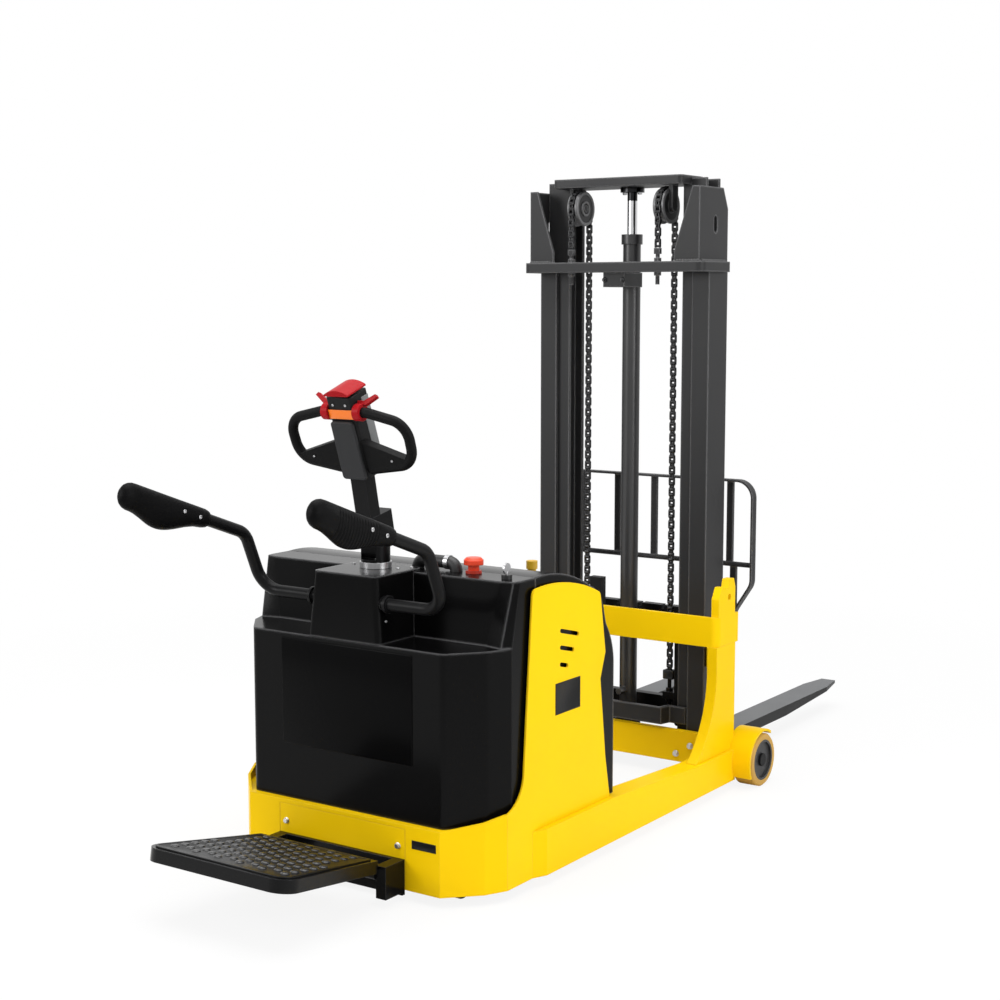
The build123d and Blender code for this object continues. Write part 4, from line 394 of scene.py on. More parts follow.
# %% Plastics and rubbers
black_plastic = finish("black_plastic", (0.007, 0.007, 0.0073), (0.05, 0.05, 0.05), 0.46, specular=0.14,
                       grain_size=1100, grain_depth=0.25, edge=0.004, dust=0.04)
grip_black = finish("grip_black", (0.004, 0.004, 0.0042), (0.045, 0.045, 0.045), 0.52, specular=0.08,
                    grain_size=1400, grain_depth=0.3, edge=0.003, dust=0.03)
grey_plastic = finish("grey_plastic", (0.027, 0.0275, 0.029), (0.09, 0.09, 0.094), 0.5, specular=0.15,
                      grain_size=1200, grain_depth=0.25, edge=0.004, dust=0.05)
pale_plastic = finish("pale_plastic", (0.15, 0.155, 0.158), (0.25, 0.25, 0.255), 0.45,
                      grain_size=1200, grain_depth=0.2, edge=0.003, dust=0.04)
red_plastic = finish("red_plastic", (0.36, 0.008, 0.012), (0.6, 0.04, 0.05), 0.36, specular=0.07,
                     grain_size=900, grain_depth=0.08, edge=0.003, dust=0.02)
stop_red = finish("stop_red", (0.8, 0.062, 0.022), (0.95, 0.14, 0.07), 0.32, specular=0.3,
                  grain_size=800, grain_depth=0.06, edge=0.004, dust=0.02)
orange_strip = finish("orange_strip", (0.95, 0.2, 0.008), (1.0, 0.35, 0.05), 0.35,
                      grain_size=600, grain_depth=0.2, edge=0.001, dust=0.02)
amber_tread = finish("amber_tread", (0.52, 0.29, 0.035), (0.62, 0.4, 0.1), 0.5,
                     grain_size=300, grain_depth=0.2, edge=0.003, cloud_depth=0.14, dust=0.12)
black_tread = finish("black_tread", (0.02, 0.02, 0.02), (0.06, 0.06, 0.06), 0.7,
                     grain_size=300, grain_depth=0.3, edge=0.003, dust=0.2)
black_rubber = finish("black_rubber", (0.005, 0.005, 0.0052), (0.16, 0.16, 0.16), 0.34, specular=0.2,
                      grain_size=700, grain_depth=0.2, edge=0.001, cloud_size=9, cloud_depth=0.25, dust=0.05)
stud_rubber = finish("stud_rubber", (0.026, 0.026, 0.0264), (0.14, 0.14, 0.14), 0.3, specular=0.5,
                     grain_size=700, grain_depth=0.12, edge=0.001, cloud_size=14, cloud_depth=0.5, dust=0.08)
pad_foam = finish("pad_foam", (0.003, 0.003, 0.0032), (0.03, 0.03, 0.03), 0.4, specular=0.05,
                  grain_size=1500, grain_depth=0.35, edge=0.002, dust=0.03)
battery_case = finish("battery_case", (0.03, 0.03, 0.031), (0.08, 0.08, 0.08), 0.6, dust=0.1)
print("plastics and rubbers ready")

# %% [markdown]
# Some CAD nodes show more than one finish. The steering column has a bright bearing collar under a black yoke,
# the rod a dark head, and the dash fittings a yellow filler cap and a red stop collar. Two more marks are painted
# shade, not finish: a dark tone in the pulleys' grooves and bores, and a dark tone on the legs' axle caps, sunk
# in the hubs. Such a node could be split, but then a piece would have to replace it. A mask by place, along an
# axis or round one, lays the second tone over the first instead, so the node stays whole.


# %% Masks by place
def between(tree, value, low, high):
    """A mask that is 1 where the value lies between two limits."""
    above = sum_node(tree, "GREATER_THAN", value, low)
    below = sum_node(tree, "LESS_THAN", value, high)
    return sum_node(tree, "MULTIPLY", above, below)


def round_axis(material, centre, low, high):
    """A mask that is 1 between two distances from a line through the centre along X."""
    tree = material.node_tree
    place = tree.nodes.new("ShaderNodeTexCoord").outputs["Object"]
    shift = vector_node(tree, "SUBTRACT", place, centre)["Vector"]
    flat = vector_node(tree, "MULTIPLY", shift, (0, 1, 1))["Vector"]
    return between(tree, vector_node(tree, "LENGTH", flat)["Value"], low, high)


def along_axis(material, axis, low, high):
    """A mask that is 1 between two places on one object axis: 0 for X, 1 for Y, 2 for Z."""
    tree = material.node_tree
    split = tree.nodes.new("ShaderNodeSeparateXYZ")
    tree.links.new(tree.nodes.new("ShaderNodeTexCoord").outputs["Object"], split.inputs[0])
    return between(tree, split.outputs[axis], low, high)


# %% Two-tone finishes and painted shade
column_metal = finish("column_metal", (0.5, 0.5, 0.51), (0.7, 0.7, 0.71), 0.28, metal=0.9,
                      grain_size=700, grain_depth=0.05, edge=0.0015, dust=0.03)
yoke_foot, yoke_top, yoke_black = 0.9055, 1.2, (0.01, 0.01, 0.0105)
motor_foot, motor_top, motor_grey = -0.1, 0.6, (0.06, 0.06, 0.062)
lay_over(column_metal, along_axis(column_metal, 2, yoke_foot, yoke_top), yoke_black)
lay_over(column_metal, along_axis(column_metal, 2, motor_foot, motor_top), motor_grey)
rod_chrome = finish("rod_chrome", (0.62, 0.62, 0.63), (0.8, 0.8, 0.8), 0.16, metal=1.0,
                    grain_size=900, grain_depth=0.02, edge=0.001, dust=0.02)
rod_head_high, over_truck, rod_head_black = 0.045, 3.0, (0.02, 0.02, 0.021)
rod_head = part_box("cylinder_rod")[1][2] - rod_head_high
lay_over(rod_chrome, along_axis(rod_chrome, 2, rod_head, over_truck), rod_head_black)
# The dark tone in the pulley grooves and bores is painted shade for those recesses.
pulley_middle = (0, 0.406, 1.96)
bore_edge, groove_inner, groove_outer, pulley_painted_shade = 0.0185, 0.0265, 0.0475, (0.008, 0.008, 0.0085)
lay_over(pulley_steel, round_axis(pulley_steel, pulley_middle, groove_inner, groove_outer), pulley_painted_shade)
lay_over(pulley_steel, round_axis(pulley_steel, pulley_middle, 0.0, bore_edge), pulley_painted_shade)
dash_black = finish("dash_black", (0.012, 0.012, 0.0125), (0.06, 0.06, 0.06), 0.42,
                    grain_size=700, grain_depth=0.15, edge=0.002, dust=0.03)
collar_left, collar_right, collar_red = 0.236, 0.292, (0.5, 0.03, 0.012)
filler_rear, filler_front, filler_yellow = -0.6, -0.4, (0.6, 0.36, 0.015)
lay_over(dash_black, along_axis(dash_black, 0, collar_left, collar_right), collar_red)
lay_over(dash_black, along_axis(dash_black, 1, filler_rear, filler_front), filler_yellow)
leg_paint = finish("leg_paint", **truck_yellow)
# The axle caps are sunk in the hubs' dishes; the dark tone laid on them is painted shade.
wheel_middle, cap_reach, cap_deep, cap_painted_shade = (0, 0.44, 0.09), 0.04, 0.0085, (0.012, 0.012, 0.0125)
cap_inner, beside_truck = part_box("load_hub_right")[1][0] - cap_deep, 1.0
for low, high in ((cap_inner, beside_truck), (-beside_truck, -cap_inner)):
    outside = along_axis(leg_paint, 0, low, high)
    near_axle = round_axis(leg_paint, wheel_middle, -1.0, cap_reach)
    lay_over(leg_paint, sum_node(leg_paint.node_tree, "MULTIPLY", outside, near_axle), cap_painted_shade)
print("two-tone", column_metal.name, dash_black.name, leg_paint.name)

# %% [markdown]
# ## Dressing the CAD nodes
# Most CAD shapes are right as they are, so they stay and only get a finish. The mat, the arm pads and the chains
# are replaced further down. A table of finishes and nodes shows at a glance which pieces match on the truck.

# %% Dress the CAD nodes
dressing = {
    yellow_paint: ("rear_tub", "rear_panel", "side_plate_right", "side_plate_left", "uprights",
                   "cross_beams"),
    leg_paint: ("leg_right", "leg_left"),
    black_cover: ("rear_hood", "front_cover", "console"),
    charcoal_steel: ("outer_rails", "mast_foot", "outer_head", "inner_rails", "inner_crossmembers",
                     "load_backrest"),
    tube_steel: ("cylinder_tube",),
    black_steel: ("front_pan", "hydraulic_unit", "carriage_frame", "tiller_tube", "arm_right", "arm_left"),
    deck_black: ("platform_bracket", "platform_deck"),
    fork_black: ("fork_right", "fork_left"),
    bright_steel: ("foot_rollers", "carriage_rollers_upper", "carriage_rollers_lower", "caster_yoke_right",
                   "caster_yoke_left", "key"),
    pulley_steel: ("chain_pulleys",),
    rod_chrome: ("cylinder_rod",),
    chain_steel: ("lift_chain_right", "lift_chain_left"),
    amber_tread: ("load_tyre_right", "load_tyre_left"),
    black_tread: ("drive_wheel", "caster_wheel_right", "caster_wheel_left"),
    dark_hub: ("load_hub_right", "load_hub_left"),
    black_plastic: ("mast_sensor", "tiller_head", "lift_rocker", "horn_button"),
    grip_black: ("handle_loops",),
    grey_plastic: ("head_cover",),
    red_plastic: ("thumb_paddles", "belly_button"),
    stop_red: ("stop_button",),
    black_rubber: ("platform_mat",),
    pad_foam: ("pad_right", "pad_left"),
    battery_case: ("battery",),
    column_metal: ("drive_unit",),
    dash_black: ("dash_fittings",),
}
dressed = 0
for material, names in dressing.items():
    for name in names:
        slots = nodes[name].data.materials
        slots.clear()
        slots.append(material)
        dressed += 1
print("dressed", dressed, "of", len(nodes))

# %% [markdown]
# ## Tools for the new pieces
# A new piece starts from a primitive and is shaped in edit mode, as by hand. These helpers clear the
# selection first, pick faces by the way they look, and put a finished piece's place into its mesh.


# %% Helpers: start and finish a piece
def activate(pieces):
    """Select these pieces and nothing else, and make the first one active."""
    bpy.ops.object.select_all(action="DESELECT")
    for piece in pieces:
        piece.select_set(True)
    bpy.context.view_layer.objects.active = pieces[0]


def settle():
    """Put the place, turn and scale of what is selected into its mesh."""
    bpy.ops.object.transform_apply(location=True, rotation=True, scale=True)


def dress(piece, name, material):
    """Name a piece and its mesh, and give it one finish."""
    piece.name = name
    piece.data.name = name
    piece.data.materials.clear()
    piece.data.materials.append(material)


def keep(name, material, body):
    """Finish the active piece: apply its place, name it, dress it and let it ride."""
    piece = bpy.context.object
    settle()
    dress(piece, name, material)
    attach(piece, body)
    return piece


def cube(place, size, turn=(0, 0, 0)):
    """A box to start from, with its size in its mesh."""
    bpy.ops.object.select_all(action="DESELECT")
    bpy.ops.mesh.primitive_cube_add(size=1, location=place, rotation=turn)
    piece = bpy.context.object
    piece.scale = size
    bpy.ops.object.transform_apply(location=False, rotation=False, scale=True)
    return piece


def drum(place, radius, depth, sides, turn=(0, 0, 0)):
    """A cylinder to start from, standing along Z unless it is turned."""
    bpy.ops.object.select_all(action="DESELECT")
    bpy.ops.mesh.primitive_cylinder_add(vertices=sides, radius=radius, depth=depth, location=place,
                                        rotation=turn)
    return bpy.context.object


# %% Helpers: shape a piece
same_way = 0.9


def pick(direction):
    """In edit mode, select only the faces that look in a direction."""
    bpy.ops.mesh.select_mode(type="FACE")
    bpy.ops.mesh.select_all(action="DESELECT")
    mesh = bmesh.from_edit_mesh(bpy.context.object.data)
    for face in mesh.faces:
        face.select_set(face.normal.dot(Vector(direction)) > same_way)
    mesh.select_flush(True)
    bmesh.update_edit_mesh(bpy.context.object.data)


def step_face(direction, rim, depth):
    """In edit mode, inset the face that looks in a direction, and push its middle out, or in for a minus."""
    pick(direction)
    bpy.ops.mesh.inset(thickness=rim)
    push = tuple(depth * part for part in direction)
    bpy.ops.mesh.extrude_region_move(TRANSFORM_OT_translate={"value": push})


def round_edges(width, segments=2, angle=40):
    """Bevel the sharp edges of the active piece and smooth it."""
    piece = bpy.context.object
    bevel = piece.modifiers.new("rounding", "BEVEL")
    bevel.width = width
    bevel.segments = segments
    bevel.limit_method = "ANGLE"
    bevel.angle_limit = math.radians(angle)
    bpy.ops.object.modifier_apply(modifier=bevel.name)
    bpy.ops.object.shade_smooth_by_angle(angle=math.radians(50))


def close_up():
    """In edit mode, merge what meets and turn every face outwards."""
    bpy.ops.mesh.select_all(action="SELECT")
    bpy.ops.mesh.remove_doubles(threshold=0.00002)
    bpy.ops.mesh.normals_make_consistent(inside=False)


# %% Helpers: copy and join pieces
def twin_of(master):
    """A copy of a piece, with a mesh of its own."""
    twin = master.copy()
    twin.data = master.data.copy()
    bpy.context.collection.objects.link(twin)
    return twin


def join(pieces):
    """One piece out of several, with their places in its mesh."""
    activate(pieces)
    settle()
    bpy.ops.object.join()
    return bpy.context.object


both_sides = (("right", 1), ("left", -1))
up, rear = (0, 0, 1), (0, -1, 0)

# %% [markdown]
# ## Platform mat
# The rider stands on a moulded rubber mat, wider at its back edge, with staggered rows of low round studs whose
# tops are polished by boots. A bump map would lose them against the light, so one stud is shaped from a cone
# and copied. The studs are a piece of their own, because their worn tops shine more than the mat between.

# %% Mat base
rise = math.radians(9.5)
hinge = Vector((0, -1.21, 0.095))
mat_front, mat_rear, mat_low, mat_thick = -0.048, -0.4426, 0.038, 0.004
mat_half_front, mat_half_rear, mat_corner, corner_steps = 0.199, 0.24, 0.038, 6
mat_rim, mat_dish, mat_round = 0.008, 0.0012, 0.0005


def tip_on_hinge(name, material):
    """Move the active piece from the mat's own frame to the tipped platform, and keep it."""
    piece = bpy.context.object
    piece.location = hinge
    piece.rotation_euler = (-rise, 0, 0)
    return keep(name, material, "platform")


mat_base = cube((0, (mat_front + mat_rear) / 2, mat_low + mat_thick / 2),
                (2 * mat_half_rear, mat_front - mat_rear, mat_thick))
settle()
bpy.ops.object.mode_set(mode="EDIT")
pick((0, 1, 0))
bpy.ops.transform.resize(value=(mat_half_front / mat_half_rear, 1, 1), center_override=(0, mat_front, mat_low))
bpy.ops.mesh.select_mode(type="EDGE")
bpy.ops.mesh.select_all(action="DESELECT")
mesh = bmesh.from_edit_mesh(mat_base.data)
for edge in mesh.edges:
    one, other = edge.verts[0].co, edge.verts[1].co
    upright = abs(one.z - other.z) > mat_thick / 2
    edge.select_set(upright and one.y < (mat_front + mat_rear) / 2)
bmesh.update_edit_mesh(mat_base.data)
bpy.ops.mesh.bevel(offset=mat_corner, segments=corner_steps, affect="EDGES")
step_face(up, mat_rim, -mat_dish)
bpy.ops.object.mode_set(mode="OBJECT")
round_edges(mat_round)
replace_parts(tip_on_hinge("mat_base", black_rubber), "platform_mat")
print("mat base", len(mat_base.data.polygons), "faces")

# %% One stud
stud_foot, stud_top, stud_high, stud_sides = 0.0128, 0.0098, 0.003, 14
crown_rim, crown_high = 0.0035, 0.0007
bpy.ops.object.select_all(action="DESELECT")
bpy.ops.mesh.primitive_cone_add(vertices=stud_sides, radius1=stud_foot, radius2=stud_top, depth=stud_high)
stud = bpy.context.object
bpy.ops.object.mode_set(mode="EDIT")
pick(up)
bpy.ops.mesh.inset(thickness=crown_rim)
bpy.ops.transform.translate(value=(0, 0, crown_high))
bpy.ops.object.mode_set(mode="OBJECT")
bpy.ops.object.shade_smooth_by_angle(angle=math.radians(50))
print("stud", len(stud.data.polygons), "faces")

# %% Rows of studs
stud_step, row_step, stud_seat = 0.0775, 0.019, mat_low + 0.0042
edge_room, rear_room, corner_pull = 0.022, 0.04, 0.3
rows = int((mat_front - mat_rear - rear_room) / row_step)
studs = []
for row in range(rows):
    along = mat_front - edge_room - row * row_step
    share = (mat_front - along) / (mat_front - mat_rear)
    half = mat_half_front + (mat_half_rear - mat_half_front) * share - edge_room
    if along < mat_rear + mat_corner:
        half -= corner_pull * (mat_rear + mat_corner - along)
    shift = stud_step / 2 if row % 2 else 0.0
    count = int((half - shift) / stud_step)
    offsets = [shift + index * stud_step for index in range(count + 1)]
    for across in sorted({side * offset for offset in offsets if offset <= half for side in (-1, 1)}):
        twin = twin_of(stud)
        twin.location = (across, along, stud_seat)
        studs.append(twin)
bpy.data.objects.remove(stud)
join(studs)
tip_on_hinge("mat_studs", stud_rubber)
print("mat", rows, "rows,", len(studs), "studs")

# %% [markdown]
# ## Arm pads
# Each arm ends in a moulded foam pad, thin at the arm and full towards its round end, with a run of cross
# grooves on its outer side. It is drawn ring by ring: a filled circle is extruded along the pad and rescaled at
# every step, and the grooves are pairs of rings whose outer points are then pressed in.

# %% The pad's profile
pad_thin, pad_full, pad_end, pad_half_wide = 0.027, 0.064, 0.038, 0.0248
top_long, swell_long, taper_long = 0.279, 0.165, 0.114
groove_first, groove_step, groove_count, groove_depth = 0.062, 0.0115, 15, 0.0016
groove_rings, groove_middle, groove_reach = (0.0, 0.0018, 0.0042, 0.006), 0.003, 0.0016
groove_side, groove_top = 0.008, 0.018
groove_starts = [groove_first + groove_step * index for index in range(groove_count)]
thin_end = [(-0.0262, 0.25), (-0.0245, 0.42), (-0.02, 0.67), (-0.012, 0.9), (0.0, 1.0), (0.03, 1.0)]
round_end = [(0.255, 1.0), (0.27, 1.0), (0.284, 0.985), (0.296, 0.9), (0.305, 0.76), (0.312, 0.55),
             (0.3155, 0.3)]
pad_rings = thin_end + [(start + ring, 1.0) for start in groove_starts for ring in groove_rings] + round_end
pad_sides, pad_place, pad_lean = 32, (0.326, -1.33, 1.043), 72.28


def pad_half(along):
    """Top and bottom of the pad at a distance along it, in metres from its thin end."""
    top = pad_thin + (pad_end - pad_thin) * min(1.0, max(0.0, along / top_long))
    if along < swell_long:
        swell = 0.5 - 0.5 * math.cos(math.pi * max(0.0, along) / swell_long)
        return top, -pad_thin + (pad_thin - pad_full) * swell
    swell = 0.5 - 0.5 * math.cos(math.pi * min(1.0, (along - swell_long) / taper_long))
    return top, -pad_full + (pad_full - pad_end) * swell


print("pad", len(pad_rings), "rings,", len(groove_starts), "grooves")


# %% Both pads
def arm_pad(name, side, body, node):
    """A pad for the right arm, with side 1, or for the left, with side -1."""
    bpy.ops.object.select_all(action="DESELECT")
    bpy.ops.mesh.primitive_circle_add(vertices=pad_sides, radius=1, fill_type="NGON")
    piece = bpy.context.object
    bpy.ops.object.mode_set(mode="EDIT")
    bpy.ops.mesh.select_all(action="SELECT")
    last_wide, last_high, last_mid, last_along = 1.0, 1.0, 0.0, 0.0
    for step, (along, share) in enumerate(pad_rings):
        top, low = pad_half(along)
        wide, high, mid = pad_half_wide * share, (top - low) / 2 * share, (top + low) / 2
        move = (0, mid - last_mid, along - last_along)
        if step == 0:
            bpy.ops.transform.translate(value=move)
        else:
            bpy.ops.mesh.extrude_region_move(TRANSFORM_OT_translate={"value": move})
        bpy.ops.transform.resize(value=(wide / last_wide, high / last_high, 1), center_override=(0, mid, along))
        last_wide, last_high, last_mid, last_along = wide, high, mid, along
    bpy.ops.mesh.select_mode(type="VERT")
    bpy.ops.mesh.select_all(action="DESELECT")
    mesh = bmesh.from_edit_mesh(piece.data)
    for vert in mesh.verts:
        in_groove = any(abs(vert.co.z - start - groove_middle) < groove_reach for start in groove_starts)
        vert.select_set(in_groove and vert.co.x * side > groove_side and vert.co.y < groove_top)
    mesh.select_flush(True)
    bmesh.update_edit_mesh(piece.data)
    bpy.ops.transform.translate(value=(-side * groove_depth, 0, 0))
    bpy.ops.mesh.select_all(action="SELECT")
    bpy.ops.mesh.normals_make_consistent(inside=False)
    bpy.ops.object.mode_set(mode="OBJECT")
    bpy.ops.object.shade_smooth_by_angle(angle=math.radians(40))
    piece.location = (side * pad_place[0], *pad_place[1:])
    piece.rotation_euler = (math.radians(pad_lean), 0, 0)
    pad = keep(name, pad_foam, body)
    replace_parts(pad, node)
    return pad


for side, sign in both_sides:
    pad = arm_pad(f"arm_pad_{side}", sign, f"arm_{side}", f"pad_{side}")
    print("pad", pad.name, len(pad.data.polygons), "faces")

# %% [markdown]
# ## Lift chains
# A roller chain is pairs of waisted plates on pins, with a roller between each inner pair. One inner and one
# outer link are modelled and copied along the path of the CAD chain: up from the head bar, over the pulley and
# down to the carriage. Each chain is two pieces, so that one strand can lengthen between the head bar and the
# pulley while the other shortens.

# %% One link
chain_pitch, plate_high, plate_thick, plate_over = 0.01905, 0.0158, 0.0029, 0.0105
plate_waist, plate_end, plate_swell, swell_past_pin = 0.8, 0.5, 1.28, 0.0012
outer_half, inner_half, pin_radius, roller_radius, pin_sides = 0.0112, 0.0078, 0.0042, 0.0072, 10


def link_plate(across):
    """One waisted plate lying along Z, its flat side facing X."""
    piece = cube((across, 0, 0), (plate_thick, plate_high, chain_pitch + plate_over))
    settle()
    bpy.ops.object.mode_set(mode="EDIT")
    bpy.ops.mesh.select_all(action="SELECT")
    bpy.ops.mesh.bisect(plane_co=(0, 0, 0), plane_no=up)
    bpy.ops.transform.resize(value=(1, plate_waist, 1), center_override=(across, 0, 0))
    for end in (-1, 1):
        pick((0, 0, end))
        bpy.ops.transform.resize(value=(1, plate_end, 1), center_override=(across, 0, 0))
    for end in (-1, 1):
        cut = end * (chain_pitch / 2 + swell_past_pin)
        bpy.ops.mesh.select_all(action="SELECT")
        bpy.ops.mesh.bisect(plane_co=(0, 0, cut), plane_no=up)
        bpy.ops.transform.resize(value=(1, plate_swell, 1), center_override=(across, 0, cut))
    bpy.ops.object.mode_set(mode="OBJECT")
    return piece


def make_link(name, half_wide, round_radius):
    """Two plates on two pins, or on two rollers."""
    rounds = [drum((0, 0, end * chain_pitch / 2), round_radius, 2 * half_wide - plate_thick, pin_sides,
                   (0, math.pi / 2, 0)) for end in (-1, 1)]
    link = join([link_plate(-half_wide + plate_thick), link_plate(half_wide - plate_thick), *rounds])
    link.name = name
    return link


outer_link = make_link("outer_link", outer_half, pin_radius)
inner_link = make_link("inner_link", inner_half, roller_radius)
print("link faces", len(outer_link.data.polygons), len(inner_link.data.polygons))

# %% The chain's path
pulley = Vector(pulley_middle)
pitch_radius, anchor_eye, link_over = 0.059, 1.8185, 0.011
rear_y, front_y = pulley.y - pitch_radius, pulley.y + pitch_radius
rear_run, over_run = pulley.z - anchor_eye, math.pi * pitch_radius
chain_x = (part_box("lift_chain_right")[0][0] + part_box("lift_chain_right")[1][0]) / 2


def chain_place(distance):
    """Place and lean of the chain at a distance from its rear anchor."""
    if distance < rear_run:
        return rear_y, anchor_eye + distance, 0.0
    turn = (distance - rear_run) / pitch_radius
    if turn < math.pi:
        return pulley.y - pitch_radius * math.cos(turn), pulley.z + pitch_radius * math.sin(turn), -turn
    return front_y, pulley.z - (distance - rear_run - over_run), math.pi


print("chain", [round(v, 3) for v in (chain_x, rear_y, front_y)], "rear run", round(rear_run, 3))


# %% Run the links along the path
def lay_chain(name, side, node):
    """Two strands of links from the head bar to the carriage, spaced to end where the CAD chain ends."""
    chain_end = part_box(node)[0][2]
    total = rear_run + over_run + (pulley.z - chain_end)
    count = round((total - link_over) / chain_pitch)
    step = (total - link_over) / count
    strands = {"anchor": [], "carriage": []}
    for index in range(count):
        distance = (chain_pitch + link_over) / 2 + index * step
        y, z, lean = chain_place(distance)
        link = twin_of(outer_link if index % 2 == 0 else inner_link)
        link.location = (side * chain_x, y, z)
        link.rotation_euler = (lean, 0, 0)
        strands["anchor" if distance < rear_run + over_run / 2 else "carriage"].append(link)
    pieces = []
    for strand, links in strands.items():
        piece = join(links)
        dress(piece, f"{name}_{strand}_strand", chain_steel)
        pieces.append(piece)
    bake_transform(pieces[0])
    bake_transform(pieces[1])
    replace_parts(pieces[0], node)
    return count


for side, sign in both_sides:
    print("links", side, lay_chain(f"chain_{side}", sign, f"lift_chain_{side}"))
for master in (outer_link, inner_link):
    bpy.data.objects.remove(master)

# %% [markdown]
# ## Screws and bolts
# Two fasteners serve the whole truck: a hex bolt on a washer, and a domed socket screw. Each is modelled once
# from a cylinder and copied, each copy with its own mesh, because the same part comes out of the same box.

# %% Hex bolt
washer_radius, washer_thick, washer_sides, washer_round = 0.0115, 0.002, 24, 0.0005
hex_radius, hex_high, hex_rim, hex_crown = 0.0095, 0.007, 0.0012, 0.0007
washer = drum((0, 0, washer_thick / 2), washer_radius, washer_thick, washer_sides)
round_edges(washer_round, 1)
hexagon = drum((0, 0, washer_thick + hex_high / 2), hex_radius, hex_high, 6)
settle()
bpy.ops.object.mode_set(mode="EDIT")
step_face(up, hex_rim, hex_crown)
bpy.ops.object.mode_set(mode="OBJECT")
hex_bolt = join([washer, hexagon])
print("hex bolt", len(hex_bolt.data.polygons), "faces")

# %% Socket screw
screw_radius, screw_high, screw_sides = 0.006, 0.0036, 20
dome_rim, dome_high, hole_rim, hole_deep = 0.0022, 0.0008, 0.0006, 0.0024
socket_screw = drum((0, 0, screw_high / 2), screw_radius, screw_high, screw_sides)
settle()
bpy.ops.object.mode_set(mode="EDIT")
pick(up)
bpy.ops.mesh.inset(thickness=dome_rim)
bpy.ops.transform.translate(value=(0, 0, dome_high))
bpy.ops.mesh.inset(thickness=hole_rim)
bpy.ops.mesh.extrude_region_move(TRANSFORM_OT_translate={"value": (0, 0, -hole_deep)})
bpy.ops.object.mode_set(mode="OBJECT")
bpy.ops.object.shade_smooth_by_angle(angle=math.radians(35))
print("socket screw", len(socket_screw.data.polygons), "faces")

# %% [markdown]
# A fastener looks out of the face that it holds. So a copy is set down by its place and the direction that its
# head faces, and a size makes the smaller ones from the same master.


# %% Copies of a fastener
def facing(direction):
    """Turn that points a piece's own Z along a direction."""
    return Vector(direction).to_track_quat("Z", "Y").to_euler()


def copy_of(master, name, place, direction, body, size=1.0, material=bright_steel):
    """A copy of a fastener, set down at a place and facing a direction."""
    twin = twin_of(master)
    twin.location = place
    twin.rotation_euler = facing(direction)
    twin.scale = (size, size, size)
    activate([twin])
    return keep(name, material, body)


# %% Where the bolts go
panel_bolt_x, panel_bolt_z, small_bolt = 0.203, 0.152, 0.8
skirt_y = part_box("rear_panel")[0][1]
for side, sign in both_sides:
    place = (sign * panel_bolt_x, skirt_y, panel_bolt_z)
    copy_of(hex_bolt, f"panel_bolt_{side}", place, rear, "chassis", small_bolt)
rod_bolt_x, top_plate_drop, top_plate_thick = 0.03, 0.03, 0.016
rod_y = (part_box("cylinder_rod")[0][1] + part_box("cylinder_rod")[1][1]) / 2
rod_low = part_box("inner_crossmembers")[1][2] - top_plate_drop - top_plate_thick
for side, sign in both_sides:
    place = (sign * rod_bolt_x, rod_y, rod_low)
    copy_of(hex_bolt, f"rod_bolt_{side}", place, (0, 0, -1), "inner_mast", small_bolt)
beam_ahead, beam_bolts = 0.022, (("low", 0.243, 0.078), ("high", 0.298, 0.112))
beam_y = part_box("mast_foot")[0][1] - beam_ahead
for side, sign in both_sides:
    for name, x, z in beam_bolts:
        copy_of(hex_bolt, f"beam_bolt_{side}_{name}", (sign * x, beam_y, z), rear, "chassis")
print("bolts set on", round(skirt_y, 3), round(beam_y, 3))

# %% Where the screws go
cap_screw, console_screw, pad_screw = 0.8, 0.7, 0.95
cap_sunk, console_lean, pad_screw_out = 0.0005, 0.1, 0.0228
cap_screws = (("left", -0.09, -0.957), ("right", 0.069, -0.957), ("front", 0.09, -0.92))
console_screws = (("low", 0.1238, -1.083, 0.761), ("high", 0.1183, -1.063, 0.816))
pad_screws = (("near", -1.361, 1.0505), ("far", -1.42, 1.0725))
cap_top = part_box("console")[1][2]
for name, x, y in cap_screws:
    copy_of(socket_screw, f"cap_screw_{name}", (x, y, cap_top - cap_sunk), up, "chassis", cap_screw)
for side, sign in both_sides:
    for name, x, y, z in console_screws:
        out = (sign, 0, console_lean)
        copy_of(socket_screw, f"console_screw_{side}_{name}", (sign * x, y, z), out, "chassis", console_screw)
for side, sign in both_sides:
    for name, y, z in pad_screws:
        place = (sign * pad_place[0] + pad_screw_out, y, z)
        copy_of(socket_screw, f"pad_screw_{side}_{name}", place, (1, 0, 0), f"arm_{side}", pad_screw)
print("screws set on", round(cap_top, 3))

# %% [markdown]
# Each chain ends on the carriage in a socket block that screws on to the lug's stud. It is a cube with
# rounded corners: its top is inset for the wall and pushed down for the pocket that takes the last link.

# %% Chain sockets
socket_size, socket_wall, socket_deep, socket_round = (0.04, 0.03, 0.032), 0.0055, 0.012, 0.0022
for side, sign in both_sides:
    chain_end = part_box(f"lift_chain_{side}")[0][2]
    cube((sign * chain_x, front_y, chain_end + socket_deep - socket_size[2] / 2), socket_size)
    settle()
    bpy.ops.object.mode_set(mode="EDIT")
    step_face(up, socket_wall, -socket_deep)
    bpy.ops.object.mode_set(mode="OBJECT")
    round_edges(socket_round)
    keep(f"chain_socket_{side}", chain_steel, "carriage")
print("chain sockets end at", round(chain_end, 3))

# %% [markdown]
# ## Turned pieces on the mast
# The faces of the pulleys and the band on the wiring conduit are turned parts. A lathe can be copied in edit
# mode: an open circle is one ring of the profile, and each new ring is extruded from the last and rescaled.


